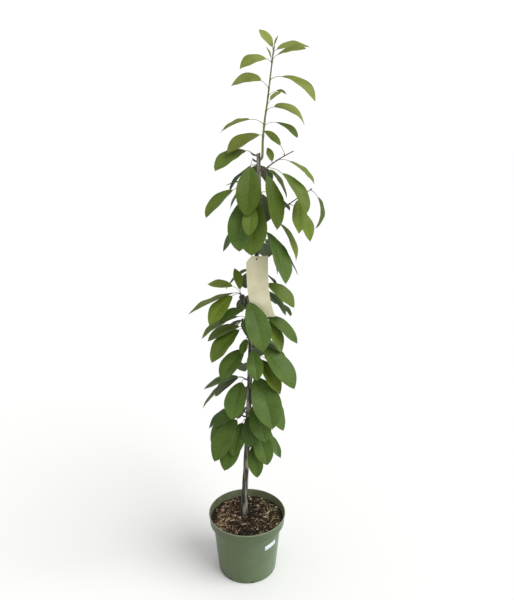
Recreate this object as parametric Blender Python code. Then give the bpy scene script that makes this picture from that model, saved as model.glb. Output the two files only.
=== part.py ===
"""Potted columnar sweet cherry tree, in metres with +Z up.

The origin is the middle of the pot's flat underside. The front of the tree faces -Y, and +X is to its right.
A bearing is an angle in degrees from +X towards +Y, so -90 points to the front. A lift is a slope in degrees.
"""

import math
import random
from collections import namedtuple

import bmesh
import bpy
from mathutils import Vector
from mathutils.bvhtree import BVHTree

for leftover in list(bpy.data.objects):
    bpy.data.objects.remove(leftover, do_unlink=True)

SEED = 31

# Pieces that touch keep this gap
GAP = 0.0003
HAIR = 0.0001

# Pot
POT_HEIGHT = 0.207
RIM_RADIUS = 0.125
COLLAR_HEIGHT = 0.033
COLLAR_FOOT_RADIUS = 0.1215
BODY_TOP_RADIUS = 0.1107
BASE_RADIUS = 0.095
WALL = 0.0024
FLOOR = 0.004
LIP_WIDTH = 0.0034
LIP_HEIGHT = 0.0042
LIP_PROUD = 0.0014
LIP_TURNS = (-35, 0, 45, 90, 135, 180)
BASE_ROUND = 0.003
STEP_ROUND = 0.0016
POT_SIDES = 48
NOTCH_COUNT = 8
NOTCH_WIDTH = 0.010
NOTCH_HEIGHT = 0.003
NOTCH_DEPTH = 0.005
NOTCH_BEARING = -79

# Inner corners of the pot, as radius and height, which the potting mix follows
RIM_INSIDE = (RIM_RADIUS - LIP_WIDTH, POT_HEIGHT - LIP_HEIGHT / 2)
COLLAR_INSIDE = (COLLAR_FOOT_RADIUS - 0.0035, POT_HEIGHT - COLLAR_HEIGHT + 0.0025)
LEDGE_INSIDE = (BODY_TOP_RADIUS - WALL, POT_HEIGHT - COLLAR_HEIGHT - 0.0035)
FLOOR_INSIDE = (BASE_RADIUS - WALL, FLOOR)

# Potting mix: its top is a shallow mound, rough with loose bark. Each ring has a radius and a drop.
SOIL_TOP = 0.186
SOIL_EDGE_DROP = 0.003
SOIL_RINGS = ((0.100, 0.0015), (0.078, 0.0006), (0.056, 0.0003), (0.036, 0.0))
SOIL_ROUGHNESS = 0.0010

# Trunk: rows of height, x and y for its middle, from the potting mix to the pruning cut
TRUNK_LINE = (
    (SOIL_TOP + GAP, -0.0125, 0.0180),
    (0.314, -0.0055, 0.0160),
    (0.640, 0.0092, 0.0110),
    (0.770, 0.0127, 0.0090),
    (0.930, 0.0221, 0.0066),
    (1.060, 0.0310, 0.0046),
    (1.196, 0.0385, 0.0025),
    (1.352, 0.0362, 0.0005),
)
TRUNK_SIDES = 14
TRUNK_RINGS = 30
TRUNK_RING_DRIFT = 1.15
FOOT_RADIUS = 0.0102
TOP_RADIUS = 0.0052
TAPER_POWER = 0.8
FLARE = 0.0042
FLARE_HEIGHT = 0.030
BUTTRESSES = 3
BUTTRESS_SHARE = 0.16
BUTTRESS_TURN = 0.8
CUT_SLOPE = 0.35

# Stems are seated by rays that start this far out from the bark
SEAT_REACH = 0.05
SEAT_RAYS = 8
SEAT_ROUNDS = 4

# Leader: the season's upright shoot beside the pruning cut, a bare limb up to the split and leafy above it
LEADER_LINE = (
    (1.341, 0.0467, 0.0010),
    (1.352, 0.0475, 0.0009),
    (1.387, 0.0483, 0.0008),
    (1.444, 0.0539, 0.0004),
    (1.478, 0.0591, 0.0002),
    (1.548, 0.0675, 0.0),
    (1.590, 0.0725, 0.0),
    (1.621, 0.0767, 0.0),
)
LEADER_SEAT = 1.335
LEADER_BEARING = 5
LEADER_SPLIT = 1.394
LEADER_RADIUS = 0.0034
LEADER_TIP_RADIUS = 0.0016
LEADER_LIMB_STEPS = 5
LEADER_STEM_STEPS = 12
LEADER_SIDES = 7

# Side shoots to the right. Each has its height on the trunk, the reach and rise of its tip, and the share
# of its length where leaves begin.
HIGH_SHOOT = (1.300, 0.086, 0.056, 0.33)
LOW_SHOOT = (1.150, 0.140, 0.104, 0.42)
SHOOT_BEARING = -4
SHOOT_RADIUS = 0.0021
SHOOT_TIP_RADIUS = 0.0013
SHOOT_BOW = 0.004
SHOOT_STEPS = 12
SHOOT_SIDES = 6

# Old pruned stub to the left, thicker at its top
STUB_HEIGHT = 0.894
STUB_BEARING = -168
STUB_REACH = 0.026
STUB_RISE = 0.050
STUB_SAG = 0.004
STUB_FOOT_RADIUS = 0.0047
STUB_TOP_RADIUS = 0.0096
STUB_SWELL = 0.5
STUB_STEPS = 5
STUB_SIDES = 9
STUB_STEM_LENGTH = 0.009
STUB_STEM_BEND = 0.44
STUB_STEM_RADII = (0.0034, 0.0030, 0.0022)

# Spurs: the short stems that carry most leaves. Each bend has a share of the length and a lift.
SPUR_RADII = (0.0027, 0.0025, 0.0026, 0.0017)
SPUR_BENDS = ((0.35, 12), (0.35, 28), (0.30, 45))
SPUR_ROOT_SHARES = (0.45, 0.95)
SPUR_SIDES = 6

# Leaves
STALK_SHARE = 0.15
STALK_EXTRA = 0.004
STALK_RADIUS = 0.0011
STALK_STEPS = 3
STALK_RISE = 72
STEEPEST_STALK = 80
LEAF_WIDTH_SHARE = 0.49
LEAF_WIDTH_VARIES = (0.92, 1.06)
LEAF_THICKNESS_SHARE = 1 / 85
LEAF_OUTLINE_LEAN = 1.2
LEAF_OUTLINE_ROUND = (0.5, 0.95)
WIDEST_HALF_LEAF = 0.04
ARCH = 28
ARCH_VARIES = (0.8, 1.2)
ARCH_LEAST_SHARE = 0.35
ARCH_GROWTH = 6
CURL = 10
FOLD = 13
FOLD_VARIES = (0.7, 1.3)
ROLL = 14
ROLL_VARIES = 12
STATIONS = (0.10, 0.28, 0.48, 0.68, 0.85, 0.945)
CLEARANCE = 0.0012
LIGHT_LEAVES_FROM = 1.39
BACK_LEAF_SINE = 0.2

# Tag of plain card with one cut corner
TAG_TOP = 1.0690
TAG_X = 0.0328
TAG_Y = -0.0150
TAG_LENGTH = 0.188
TAG_WIDTH = 0.062
TAG_THICKNESS = 0.0010
TAG_SWING = 0.0237
TAG_BOW = 0.016
TAG_BOW_SPAN = (0.1, 0.9)
TAG_TUCK = 0.016
TAG_CORNER = 0.018
TAG_CORNER_SHARES = (1.0, 0.45)
TAG_CUP = 0.0035
TAG_ROWS = 12
TAG_COLUMNS = 4
HOLE_RADIUS = 0.0024
HOLE_DROP = 0.0085
HOLE_SHIFT = -0.0015
HOLE_SIDES = 12
HOLE_CUT = 0.02

# Tie through the tag's hole and round the trunk
TIE_RADIUS = 0.0006
TIE_HALF_WIDTH = 0.0118
TIE_PINCH = 0.25
TIE_FRONT = 0.004
TIE_STEPS = 24
TIE_SIDES = 6

# A leaf has a bearing, the lift of its blade and its length, and where they differ from the rule,
# the length of its stalk, the roll of its blade towards the viewer and how far it arches.
Leaf = namedtuple("Leaf", "bearing lift length stalk face arch", defaults=(None, None, None))

# Each spur: name, height on the trunk, bearing and length of its stem, and its leaves
SPURS = (
    ("spur_foot", 0.460, -48, 0.014, (Leaf(-74, -54, 0.102),)),
    ("spur_low_left", 0.515, -118, 0.014, (Leaf(-126, -52, 0.134),)),
    ("spur_low_right", 0.510, -38, 0.014, (Leaf(-54, -56, 0.112), Leaf(-28, -50, 0.108, None, 0))),
    ("spur_dark_left", 0.538, -122, 0.014, (Leaf(-112, -60, 0.110, 0.018),)),
    ("spur_fan_left", 0.548, -150, 0.014,
     (Leaf(-134, -48, 0.146, 0.028), Leaf(-162, -42, 0.120), Leaf(-176, -26, 0.086))),
    ("spur_small_front", 0.560, -96, 0.012, (Leaf(-88, -56, 0.095),)),
    ("spur_low_front", 0.596, -70, 0.014, (Leaf(-62, -52, 0.120, 0.014),)),
    ("spur_side_right", 0.630, -30, 0.014, (Leaf(-38, -49, 0.132), Leaf(-4, -50, 0.114))),
    ("spur_broad_left", 0.676, -146, 0.014,
     (Leaf(-114, -50, 0.122), Leaf(-170, -20, 0.116, None, -4), Leaf(168, -42, 0.104),
      Leaf(-160, -37, 0.140, None, -20))),
    ("spur_broad_right", 0.690, -66, 0.014, (Leaf(-58, -49, 0.168, 0.018),)),
    ("spur_mid_right", 0.744, -30, 0.014, (Leaf(-43, -48, 0.126, 0.014), Leaf(-8, -36, 0.106, 0.026))),
    ("spur_mid_front", 0.780, -92, 0.014, (Leaf(-74, -50, 0.096), Leaf(-144, -44, 0.116, 0.024))),
    ("spur_long_right", 0.784, -35, 0.014, (Leaf(-33, -46, 0.158, 0.026),)),
    ("spur_button_left", 0.812, -128, 0.012, (Leaf(-112, -50, 0.052, 0.010),)),
    ("spur_mid_left", 0.838, -155, 0.014, (Leaf(-150, -42, 0.130), Leaf(-174, -31, 0.108))),
    ("spur_upper_right", 0.876, -12, 0.014, (Leaf(-10, -38, 0.132), Leaf(-26, -62, 0.112, 0.028))),
    ("spur_thin_left", 0.870, -165, 0.014, (Leaf(-163, -27, 0.132, None, -6),)),
    ("spur_small_left", 0.898, -120, 0.012, (Leaf(-100, -62, 0.060, 0.012), Leaf(-170, -32, 0.082, 0.020))),
    ("spur_behind_tag", 0.954, -4, 0.012, (Leaf(2, -50, 0.100, 0.014),)),
    ("spur_over_tag", 0.975, -10, 0.014, (Leaf(-16, -40, 0.108),)),
    ("spur_hanging", 1.140, -52, 0.012, (Leaf(-44, -60, 0.160, 0.022, -14),)),
    ("spur_dark_right", 1.106, -5, 0.014, (Leaf(2, -52, 0.132, 0.020, 0), Leaf(34, -70, 0.112, 0.010, 30))),
    ("spur_narrow_right", 1.172, -8, 0.014, (Leaf(-14, -66, 0.118, 0.050, 0),)),
    ("spur_high_front", 1.330, -140, 0.016, (Leaf(-102, -71, 0.138, 0.038),)),
    ("spur_high_right", 1.306, -56, 0.014,
     (Leaf(-62, -69, 0.156, 0.032, -22), Leaf(-22, -54, 0.132, 0.060), Leaf(20, -56, 0.098, 0.022, 30))),
    ("spur_young_front", 1.225, -112, 0.016, (Leaf(-104, -60, 0.088, 0.050),)),
    ("spur_heavy_left", 1.246, -150, 0.020, (Leaf(-116, -72, 0.150, 0.044), Leaf(-154, -42, 0.110, 0.060))),
    ("spur_heavy_front", 1.246, -84, 0.012, (Leaf(-112, -79, 0.158, 0.036),)),
    ("spur_curled_left", 1.262, 172, 0.014,
     (Leaf(176, -14, 0.058, 0.024, 0), Leaf(160, -56, 0.084, 0.024, 24))),
    ("spur_crown_left", 1.346, -162, 0.018, (Leaf(-152, -29, 0.112, 0.017, 23, 50),)),
)

# Spurs up the back of the trunk, by rule
BACK_SPURS = 12
BACK_LOWEST = 0.480
BACK_HIGHEST = 1.312
BACK_STEM = 0.014
BACK_SIDE = 42
BACK_INNER_SHARE = 0.35
BACK_SIDE_VARIES = 10
BACK_LEAVES = 3
BACK_SPREAD = 46
BACK_SPREAD_VARIES = 8
BACK_LONGEST = 0.134
BACK_SHORTEST = 0.102
BACK_LONGEST_AT = 0.45
BACK_SHORTENING = 1.6
BACK_LENGTH_VARIES = (0.86, 1.05)
BACK_LIFTS = (-56, -34)

# Leaves up the leader, each with the height where its stalk starts
LEADER_LEAVES = (
    (1.618, Leaf(-30, 64, 0.028, 0.006)),
    (1.584, Leaf(174, 64, 0.032, 0.010)),
    (1.612, Leaf(150, 48, 0.062, 0.010, 26)),
    (1.604, Leaf(14, 5, 0.094, 0.016, 24, 28)),
    (1.584, Leaf(-26, 6, 0.088, 0.024, 30, 24)),
    (1.582, Leaf(-150, -20, 0.086, 0.019, 34, 56)),
    (1.540, Leaf(-22, -34, 0.119, 0.034, 13, 50)),
    (1.518, Leaf(160, -9, 0.092, 0.031, 40, 66)),
    (1.463, Leaf(-50, 24, 0.056, 0.032, 6)),
    (1.500, Leaf(-6, -20, 0.030, 0.026, 30, 60)),
    (1.462, Leaf(20, -28, 0.108, 0.026, 30, 66)),
    (1.426, Leaf(168, -23, 0.096, 0.044, 18)),
    (1.423, Leaf(-32, -30, 0.082, 0.038, 4, 40)),
    (1.397, Leaf(-154, -27, 0.112, 0.012, 21, 44)),
)

# Leaves of the side shoots and the stub, each with the share of the stem where its stalk starts
HIGH_SHOOT_LEAVES = (
    (0.20, Leaf(-14, -40, 0.096, 0.040, 2)),
    (0.05, Leaf(126, 62, 0.042, 0.006)),
    (0.64, Leaf(165, 40, 0.062, 0.030, 28)),
)
LOW_SHOOT_LEAVES = (
    (0.24, Leaf(-32, -66, 0.096, 0.036)),
    (0.60, Leaf(-94, -64, 0.100, 0.016)),
    (0.97, Leaf(0, -93, 0.094, 0.030, 17, 60)),
)
STUB_LEAVES = (
    (0.42, Leaf(-54, -62, 0.155, 0.042)),
    (0.56, Leaf(-165, -21, 0.146, 0.024, -12, 10)),
    (0.69, Leaf(-154, -43, 0.112, 0.028, 24)),
    (0.82, Leaf(172, 2, 0.076, 0.034, 26)),
    (0.76, Leaf(128, 64, 0.066, 0.014, 0)),
)

# Turns tried, in order, for a leaf whose own space is taken: change of bearing, change of lift
TURN_REACHES = (5, 10, 16, 23, 30)
TURN_WAYS = ((1, 0), (-1, 0), (0, -0.6), (0, 0.6), (1, -0.5), (-1, -0.5), (1, 0.5), (-1, 0.5))
TURNS = [(0, 0)] + [(reach * way, reach * tilt) for reach in TURN_REACHES for way, tilt in TURN_WAYS]


# Sums
def lerp(a, b, share):
    return a + (b - a) * share


def heading(bearing, lift=0.0):
    """Unit vector with this bearing and lift."""
    turn, slope = math.radians(bearing), math.radians(lift)
    return Vector((math.cos(slope) * math.cos(turn), math.cos(slope) * math.sin(turn), math.sin(slope)))


def on_line(line, height):
    """The point at this height on a smooth curve through rows of height, x and y."""
    last = len(line) - 2
    row = next((i for i in range(last + 1) if height <= line[i + 1][0]), last)
    near, far = line[row], line[row + 1]
    before = line[max(row - 1, 0)]
    after = line[min(row + 2, len(line) - 1)]
    span = far[0] - near[0]
    share = (height - near[0]) / span
    squared, cubed = share**2, share**3
    place = []
    for axis in (1, 2):
        slope_in = (far[axis] - before[axis]) / (far[0] - before[0]) * span
        slope_out = (after[axis] - near[axis]) / (after[0] - near[0]) * span
        place.append(
            (2 * cubed - 3 * squared + 1) * near[axis]
            + (cubed - 2 * squared + share) * slope_in
            + (3 * squared - 2 * cubed) * far[axis]
            + (cubed - squared) * slope_out
        )
    return Vector((place[0], place[1], height))


def bent_path(start, end, rise, steps):
    """Points from start to end that bow upwards by this much in the middle."""
    return [
        start.lerp(end, i / steps) + Vector((0, 0, rise * math.sin(math.pi * i / steps)))
        for i in range(steps + 1)
    ]


# Materials
def material(name, colour, roughness):
    """A Principled material of this colour."""
    made = bpy.data.materials.new(name)
    made.use_nodes = True
    shader = made.node_tree.nodes["Principled BSDF"]
    shader.inputs["Base Color"].default_value = (*colour, 1.0)
    shader.inputs["Roughness"].default_value = roughness
    made.diffuse_color = (*colour, 1.0)
    return made


POT_GREEN = material("pot_green", (0.130, 0.190, 0.095), 0.42)
MIX_BROWN = material("bark_mix", (0.060, 0.040, 0.025), 0.95)
BARK = material("bark", (0.085, 0.070, 0.060), 0.80)
SHOOT_BARK = material("shoot_bark", (0.170, 0.190, 0.060), 0.55)
LEAF_DARK = material("leaf_dark", (0.060, 0.120, 0.028), 0.45)
LEAF_MID = material("leaf_mid", (0.090, 0.165, 0.035), 0.45)
LEAF_LIGHT = material("leaf_light", (0.210, 0.290, 0.065), 0.48)
CARD = material("tag_card", (0.720, 0.650, 0.500), 0.60)
TIE_BROWN = material("tie_cord", (0.160, 0.120, 0.080), 0.80)


# Mesh helpers
def new_object(name, points, faces, finish, sharp=40):
    """A closed mesh object, faces outwards, smooth but for edges sharper than this many degrees."""
    mesh = bpy.data.meshes.new(name)
    shape = bmesh.new()
    corners = [shape.verts.new(point) for point in points]
    for face in faces:
        shape.faces.new([corners[i] for i in face])
    bmesh.ops.recalc_face_normals(shape, faces=shape.faces)
    if shape.calc_volume(signed=True) < 0:
        bmesh.ops.reverse_faces(shape, faces=shape.faces)
    shape.to_mesh(mesh)
    shape.free()
    mesh.materials.append(finish)
    mesh.shade_smooth()
    mesh.set_sharp_from_angle(angle=math.radians(sharp))
    made = bpy.data.objects.new(name, mesh)
    bpy.context.scene.collection.objects.link(made)
    return made


def cutter(name, shape):
    """A hidden helper object that a Boolean takes away."""
    mesh = bpy.data.meshes.new(name)
    shape.to_mesh(mesh)
    shape.free()
    made = bpy.data.objects.new(name, mesh)
    bpy.context.scene.collection.objects.link(made)
    made.hide_render = True
    made.display_type = "WIRE"
    return made


def take_away(thing, name, tool):
    cut = thing.modifiers.new(name, "BOOLEAN")
    cut.operation = "DIFFERENCE"
    cut.object = tool


def wall_faces(rings, sides, closed=False):
    """Side faces between rings of points. In a closed row the last ring meets the first."""
    faces = []
    for ring in range(rings if closed else rings - 1):
        low, high = ring * sides, (ring + 1) % rings * sides
        for side in range(sides):
            ahead = (side + 1) % sides
            faces.append((low + side, low + ahead, high + ahead, high + side))
    return faces


def capped_faces(rings, sides):
    """Side faces and a flat cap on each end."""
    ends = [tuple(reversed(range(sides))), tuple(range((rings - 1) * sides, rings * sides))]
    return wall_faces(rings, sides) + ends


def circle_points(centre, across, beside, radius, sides):
    turns = [2 * math.pi * side / sides for side in range(sides)]
    return [centre + (across * math.cos(turn) + beside * math.sin(turn)) * radius for turn in turns]


def turned(name, profile, sides, finish, ripple=None):
    """A shape turned about Z from radius and height pairs that start and end on the axis."""
    points = []
    for radius, height in profile[1:-1]:
        for side in range(sides):
            turn = 2 * math.pi * side / sides
            lift = ripple(radius, height) if ripple else 0.0
            points.append((radius * math.cos(turn), radius * math.sin(turn), height + lift))
    rings = len(profile) - 2
    faces = wall_faces(rings, sides)
    for end, first in ((profile[0], 0), (profile[-1], (rings - 1) * sides)):
        points.append((0.0, 0.0, end[1]))
        for side in range(sides):
            faces.append((len(points) - 1, first + side, first + (side + 1) % sides))
    return new_object(name, points, faces, finish, 30)


def tapered(name, centres, radii, sides, finish, first_direction=None):
    """One tapering limb with flat ends, its rings square to the path and without twist."""
    points = []
    across = None
    for i, centre in enumerate(centres):
        before, after = centres[max(i - 1, 0)], centres[min(i + 1, len(centres) - 1)]
        along = (after - before).normalized()
        if i == 0 and first_direction is not None:
            along = first_direction.normalized()
        if across is None:
            across = along.orthogonal().normalized()
        across = (across - along * across.dot(along)).normalized()
        points += circle_points(centre, across, along.cross(across), radii[i], sides)
    return new_object(name, points, capped_faces(len(centres), sides), finish, 50)


def mesh_of(thing):
    """Points and faces of an object's mesh."""
    return [v.co for v in thing.data.vertices], [tuple(p.vertices) for p in thing.data.polygons]


def tree_of(points, faces):
    return BVHTree.FromPolygons([tuple(point) for point in points], faces, epsilon=0.0)


# Pot
def make_pot():
    """A moulded nursery pot: a tapering body under a deep stepped collar with a rolled lip."""
    step = POT_HEIGHT - COLLAR_HEIGHT
    profile = [
        (0.0, 0.0),
        (BASE_RADIUS - BASE_ROUND, 0.0),
        (BASE_RADIUS, BASE_ROUND),
        (BODY_TOP_RADIUS, step - STEP_ROUND),
        (BODY_TOP_RADIUS + STEP_ROUND, step - STEP_ROUND / 3),
        (COLLAR_FOOT_RADIUS - STEP_ROUND, step),
        (COLLAR_FOOT_RADIUS, step + STEP_ROUND),
        (RIM_RADIUS - LIP_PROUD, POT_HEIGHT - LIP_HEIGHT),
    ]
    for turn in LIP_TURNS:
        across = LIP_WIDTH / 2 * (math.cos(math.radians(turn)) - 1)
        rise = LIP_HEIGHT / 2 * (math.sin(math.radians(turn)) - 1)
        profile.append((RIM_RADIUS + across, POT_HEIGHT + rise))
    profile += [COLLAR_INSIDE, LEDGE_INSIDE, FLOOR_INSIDE, (0.0, FLOOR)]
    pot = turned("pot", profile, POT_SIDES, POT_GREEN)
    take_away(pot, "drain_notches", notch_cutter())
    return pot


def notch_cutter():
    """Small boxes round the foot, one for each drain notch."""
    shape = bmesh.new()
    for notch in range(NOTCH_COUNT):
        corners = bmesh.ops.create_cube(shape, size=1.0)["verts"]
        turn = math.radians(NOTCH_BEARING) + 2 * math.pi * notch / NOTCH_COUNT
        bmesh.ops.scale(shape, verts=corners, vec=(2 * NOTCH_DEPTH, NOTCH_WIDTH, 2 * NOTCH_HEIGHT))
        bmesh.ops.translate(shape, verts=corners, vec=(BASE_RADIUS, 0.0, 0.0))
        for corner in corners:
            x, y, z = corner.co
            corner.co = (x * math.cos(turn) - y * math.sin(turn), x * math.sin(turn) + y * math.cos(turn), z)
    return cutter("notch_cutter", shape)


# Potting mix
def make_soil():
    """The moist bark mix that fills the pot to a little below its rim."""
    chance = random.Random(SEED)
    edge_height = SOIL_TOP - SOIL_EDGE_DROP
    climb = (edge_height - COLLAR_INSIDE[1]) / (RIM_INSIDE[1] - COLLAR_INSIDE[1])
    edge_radius = lerp(COLLAR_INSIDE[0], RIM_INSIDE[0], climb)
    inset = GAP + HAIR
    profile = [
        (0.0, FLOOR + inset),
        (FLOOR_INSIDE[0] - inset, FLOOR + inset),
        (LEDGE_INSIDE[0] - inset, LEDGE_INSIDE[1] + HAIR),
        (COLLAR_INSIDE[0] - inset, COLLAR_INSIDE[1] + HAIR),
        (edge_radius - inset, edge_height),
    ]
    profile += [(radius, SOIL_TOP - drop) for radius, drop in SOIL_RINGS]
    profile.append((0.0, SOIL_TOP))
    level_within = SOIL_RINGS[-1][0]

    def ripple(radius, height):
        loose = height > edge_height and radius > level_within
        return chance.uniform(-SOIL_ROUGHNESS, 0.0) if loose else 0.0

    return turned("soil", profile, POT_SIDES, MIX_BROWN, ripple)


# Trunk and limbs
def trunk_radius(height):
    """Radius of the trunk: a flared foot, then an even taper to the cut."""
    foot, top = TRUNK_LINE[0][0], TRUNK_LINE[-1][0]
    share = (height - foot) / (top - foot)
    flare = FLARE * math.exp(-(height - foot) / FLARE_HEIGHT)
    return lerp(FOOT_RADIUS, TOP_RADIUS, share**TAPER_POWER) + flare


def make_trunk():
    """The old wood, whole from the potting mix to the pruning cut, with low buttresses at its foot."""
    foot, top = TRUNK_LINE[0][0], TRUNK_LINE[-1][0]
    points = []
    for ring in range(TRUNK_RINGS):
        height = lerp(foot, top, (ring / (TRUNK_RINGS - 1)) ** TRUNK_RING_DRIFT)
        centre = on_line(TRUNK_LINE, height)
        radius = trunk_radius(height)
        buttress = BUTTRESS_SHARE * math.exp(-(height - foot) / FLARE_HEIGHT)
        slope = CUT_SLOPE if ring == TRUNK_RINGS - 1 else 0.0
        for side in range(TRUNK_SIDES):
            turn = 2 * math.pi * side / TRUNK_SIDES
            reach = radius * (1 + buttress * math.cos(BUTTRESSES * turn + BUTTRESS_TURN))
            rise = slope * radius * math.cos(turn)
            points.append(centre + Vector((reach * math.cos(turn), reach * math.sin(turn), rise)))
    return new_object("trunk", points, capped_faces(TRUNK_RINGS, TRUNK_SIDES), BARK, 50)


def seat(bark, height, outward, radius):
    """Where a stem of this radius starts so that its flat end lies GAP clear of the bark."""
    beyond = outward * SEAT_REACH
    across = outward.cross(Vector((0, 0, 1))).normalized()
    start = bark.ray_cast(on_line(TRUNK_LINE, height) + beyond, -outward)[0].copy()
    for _ in range(SEAT_ROUNDS):
        end = circle_points(start, across, outward.cross(across), radius, SEAT_RAYS) + [start]
        touches = [(place, bark.ray_cast(place + beyond, -outward)[0]) for place in end]
        nearest = min((place - touch).dot(outward) for place, touch in touches if touch is not None)
        start += outward * (GAP - nearest)
    return start


def leader_part(name, low, high, steps, start=None, first_direction=None):
    """A length of the leader between two heights."""
    foot, top = LEADER_LINE[0][0], LEADER_LINE[-1][0]
    heights = [lerp(low, high, i / steps) for i in range(steps + 1)]
    centres = [on_line(LEADER_LINE, height) for height in heights]
    radii = [lerp(LEADER_RADIUS, LEADER_TIP_RADIUS, (height - foot) / (top - foot)) for height in heights]
    if start is not None:
        centres.insert(0, start)
        radii.insert(0, LEADER_RADIUS)
    return tapered(name, centres, radii, LEADER_SIDES, SHOOT_BARK, first_direction)


def make_leader(bark):
    """The leader's bare limb, and the stem of the leafy mass above it."""
    outward = heading(LEADER_BEARING)
    start = seat(bark, LEADER_SEAT, outward, LEADER_RADIUS)
    limb = leader_part("leader", LEADER_LINE[0][0], LEADER_SPLIT, LEADER_LIMB_STEPS, start, outward)
    stem = leader_part("leader_leaves", LEADER_SPLIT + GAP, LEADER_LINE[-1][0], LEADER_STEM_STEPS)
    return limb, stem


def make_shoot(bark, name, height, reach, rise, split):
    """A side shoot's bare limb, the stem of the leafy mass past it, and the points of that stem."""
    toward = heading(SHOOT_BEARING)
    start = seat(bark, height, toward, SHOOT_RADIUS)
    path = bent_path(start, start + Vector((reach, 0.0, rise)), SHOOT_BOW, SHOOT_STEPS)
    radii = [lerp(SHOOT_RADIUS, SHOOT_TIP_RADIUS, i / SHOOT_STEPS) for i in range(SHOOT_STEPS + 1)]
    at = round(split * SHOOT_STEPS)
    limb = tapered(name, path[: at + 1], radii[: at + 1], SHOOT_SIDES, BARK, toward)
    direction = (path[at + 1] - path[at - 1]).normalized()
    rest = [path[at] + direction * GAP] + path[at + 1 :]
    stem = tapered(f"{name}_leaves", rest, radii[at:], SHOOT_SIDES, SHOOT_BARK, direction)
    return limb, stem, rest


def make_stub(bark):
    """The stub, the short stem of the leaves on its top, and the two ends of that stem."""
    outward = heading(STUB_BEARING)
    start = seat(bark, STUB_HEIGHT, outward, STUB_FOOT_RADIUS)
    end = start + outward * STUB_REACH + Vector((0, 0, STUB_RISE))
    path = bent_path(start, end, -STUB_SAG, STUB_STEPS)
    shares = [(i / STUB_STEPS) ** STUB_SWELL for i in range(STUB_STEPS + 1)]
    radii = [lerp(STUB_FOOT_RADIUS, STUB_TOP_RADIUS, share) for share in shares]
    limb = tapered("stub", path, radii, STUB_SIDES, BARK, outward)
    way = (path[-1] - path[-2]).normalized()
    low = path[-1] + way * GAP
    high = low + way * STUB_STEM_LENGTH
    centres = [low, low.lerp(high, STUB_STEM_BEND), high]
    stem = tapered("stub_leaves", centres, STUB_STEM_RADII, LEADER_SIDES, SHOOT_BARK, way)
    return limb, stem, [low, high]


def make_spur(bark, name, height, bearing, length):
    """A short stem that leaves the trunk nearly level and bends up, and its points."""
    outward = heading(bearing)
    centres = [seat(bark, height, outward, SPUR_RADII[0])]
    for share, lift in SPUR_BENDS:
        centres.append(centres[-1] + heading(bearing, lift) * (length * share))
    return tapered(name, centres, SPUR_RADII, SPUR_SIDES, BARK, outward), centres


def back_spurs():
    """Spurs spaced up the back of the trunk, left and right in turn, each with a fan of leaves."""
    chance = random.Random(SEED + 1)
    rows = []
    for spur in range(BACK_SPURS):
        share = spur / (BACK_SPURS - 1)
        side = BACK_SIDE * (1 if spur % 2 else -1) * (1 if spur % 4 < 2 else BACK_INNER_SHARE)
        bearing = 90 + side + chance.uniform(-BACK_SIDE_VARIES, BACK_SIDE_VARIES)
        longest = lerp(BACK_LONGEST, BACK_SHORTEST, abs(share - BACK_LONGEST_AT) * BACK_SHORTENING)
        leaves = []
        for i in range(BACK_LEAVES):
            fan = BACK_SPREAD * (i - (BACK_LEAVES - 1) / 2)
            fan += chance.uniform(-BACK_SPREAD_VARIES, BACK_SPREAD_VARIES)
            lift = chance.uniform(*BACK_LIFTS)
            leaves.append(Leaf(bearing + fan, lift, longest * chance.uniform(*BACK_LENGTH_VARIES)))
        height = lerp(BACK_LOWEST, BACK_HIGHEST, share)
        rows.append((f"back_spur_{spur + 1:02d}", height, bearing, BACK_STEM, tuple(leaves)))
    return tuple(rows)


# Leaves
def leaf_rings(root, leaf, chance, grow=0.0):
    """Rings of four points down a stalk and blade, then the tip, for a leaf that starts at root.

    grow thickens and widens it, for testing its clearance.
    """
    stalk = leaf.stalk if leaf.stalk is not None else STALK_SHARE * leaf.length + STALK_EXTRA
    width = leaf.length * LEAF_WIDTH_SHARE * chance.uniform(*LEAF_WIDTH_VARIES)
    arch = ARCH * chance.uniform(*ARCH_VARIES) * min(1.0, ARCH_LEAST_SHARE + leaf.length * ARCH_GROWTH)
    arch = leaf.arch if leaf.arch is not None else arch
    curl = chance.uniform(-CURL, CURL)
    face = leaf.face if leaf.face is not None else ROLL + chance.uniform(-ROLL_VARIES, ROLL_VARIES)
    roll = math.radians(face) * (1 if math.cos(math.radians(leaf.bearing)) > 0 else -1)
    fold = math.radians(FOLD * chance.uniform(*FOLD_VARIES))
    thick = leaf.length * LEAF_THICKNESS_SHARE
    rings = []
    place = Vector(root)

    def ring(bearing, lift, half_width, half_thick, raise_edge):
        direction, level = heading(bearing, lift), heading(bearing + 90)
        side = level * math.cos(roll) + direction.cross(level) * math.sin(roll)
        top = direction.cross(side)
        edge = top * (half_width * math.sin(raise_edge))
        span = side * (half_width * math.cos(raise_edge))
        skin = top * half_thick
        rings.append((place + span + edge, place + skin, place - span + edge, place - skin))

    rise = min(STEEPEST_STALK, leaf.lift + STALK_RISE)
    base_lift = leaf.lift + arch / 2
    for step in range(STALK_STEPS + 1):
        lift = lerp(rise, base_lift, step / STALK_STEPS)
        ring(leaf.bearing, lift, STALK_RADIUS + grow, STALK_RADIUS + grow, 0.0)
        if step < STALK_STEPS:
            middle = lerp(rise, base_lift, (step + 0.5) / STALK_STEPS)
            place = place + heading(leaf.bearing, middle) * (stalk / STALK_STEPS)
    before = 0.0
    for station in STATIONS + (1.0,):
        middle = (before + station) / 2
        bearing, lift = leaf.bearing + curl * middle, base_lift - arch * middle
        direction = heading(bearing, lift)
        place = place + direction * (leaf.length * (station - before))
        if station < 1.0:
            outline = math.sin(math.pi * station**LEAF_OUTLINE_LEAN) ** lerp(*LEAF_OUTLINE_ROUND, station)
            half = width / 2 * outline
            ring(bearing, lift, half + grow, thick / 2 + grow, fold)
        before = station
    return rings, place + direction * grow


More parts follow.
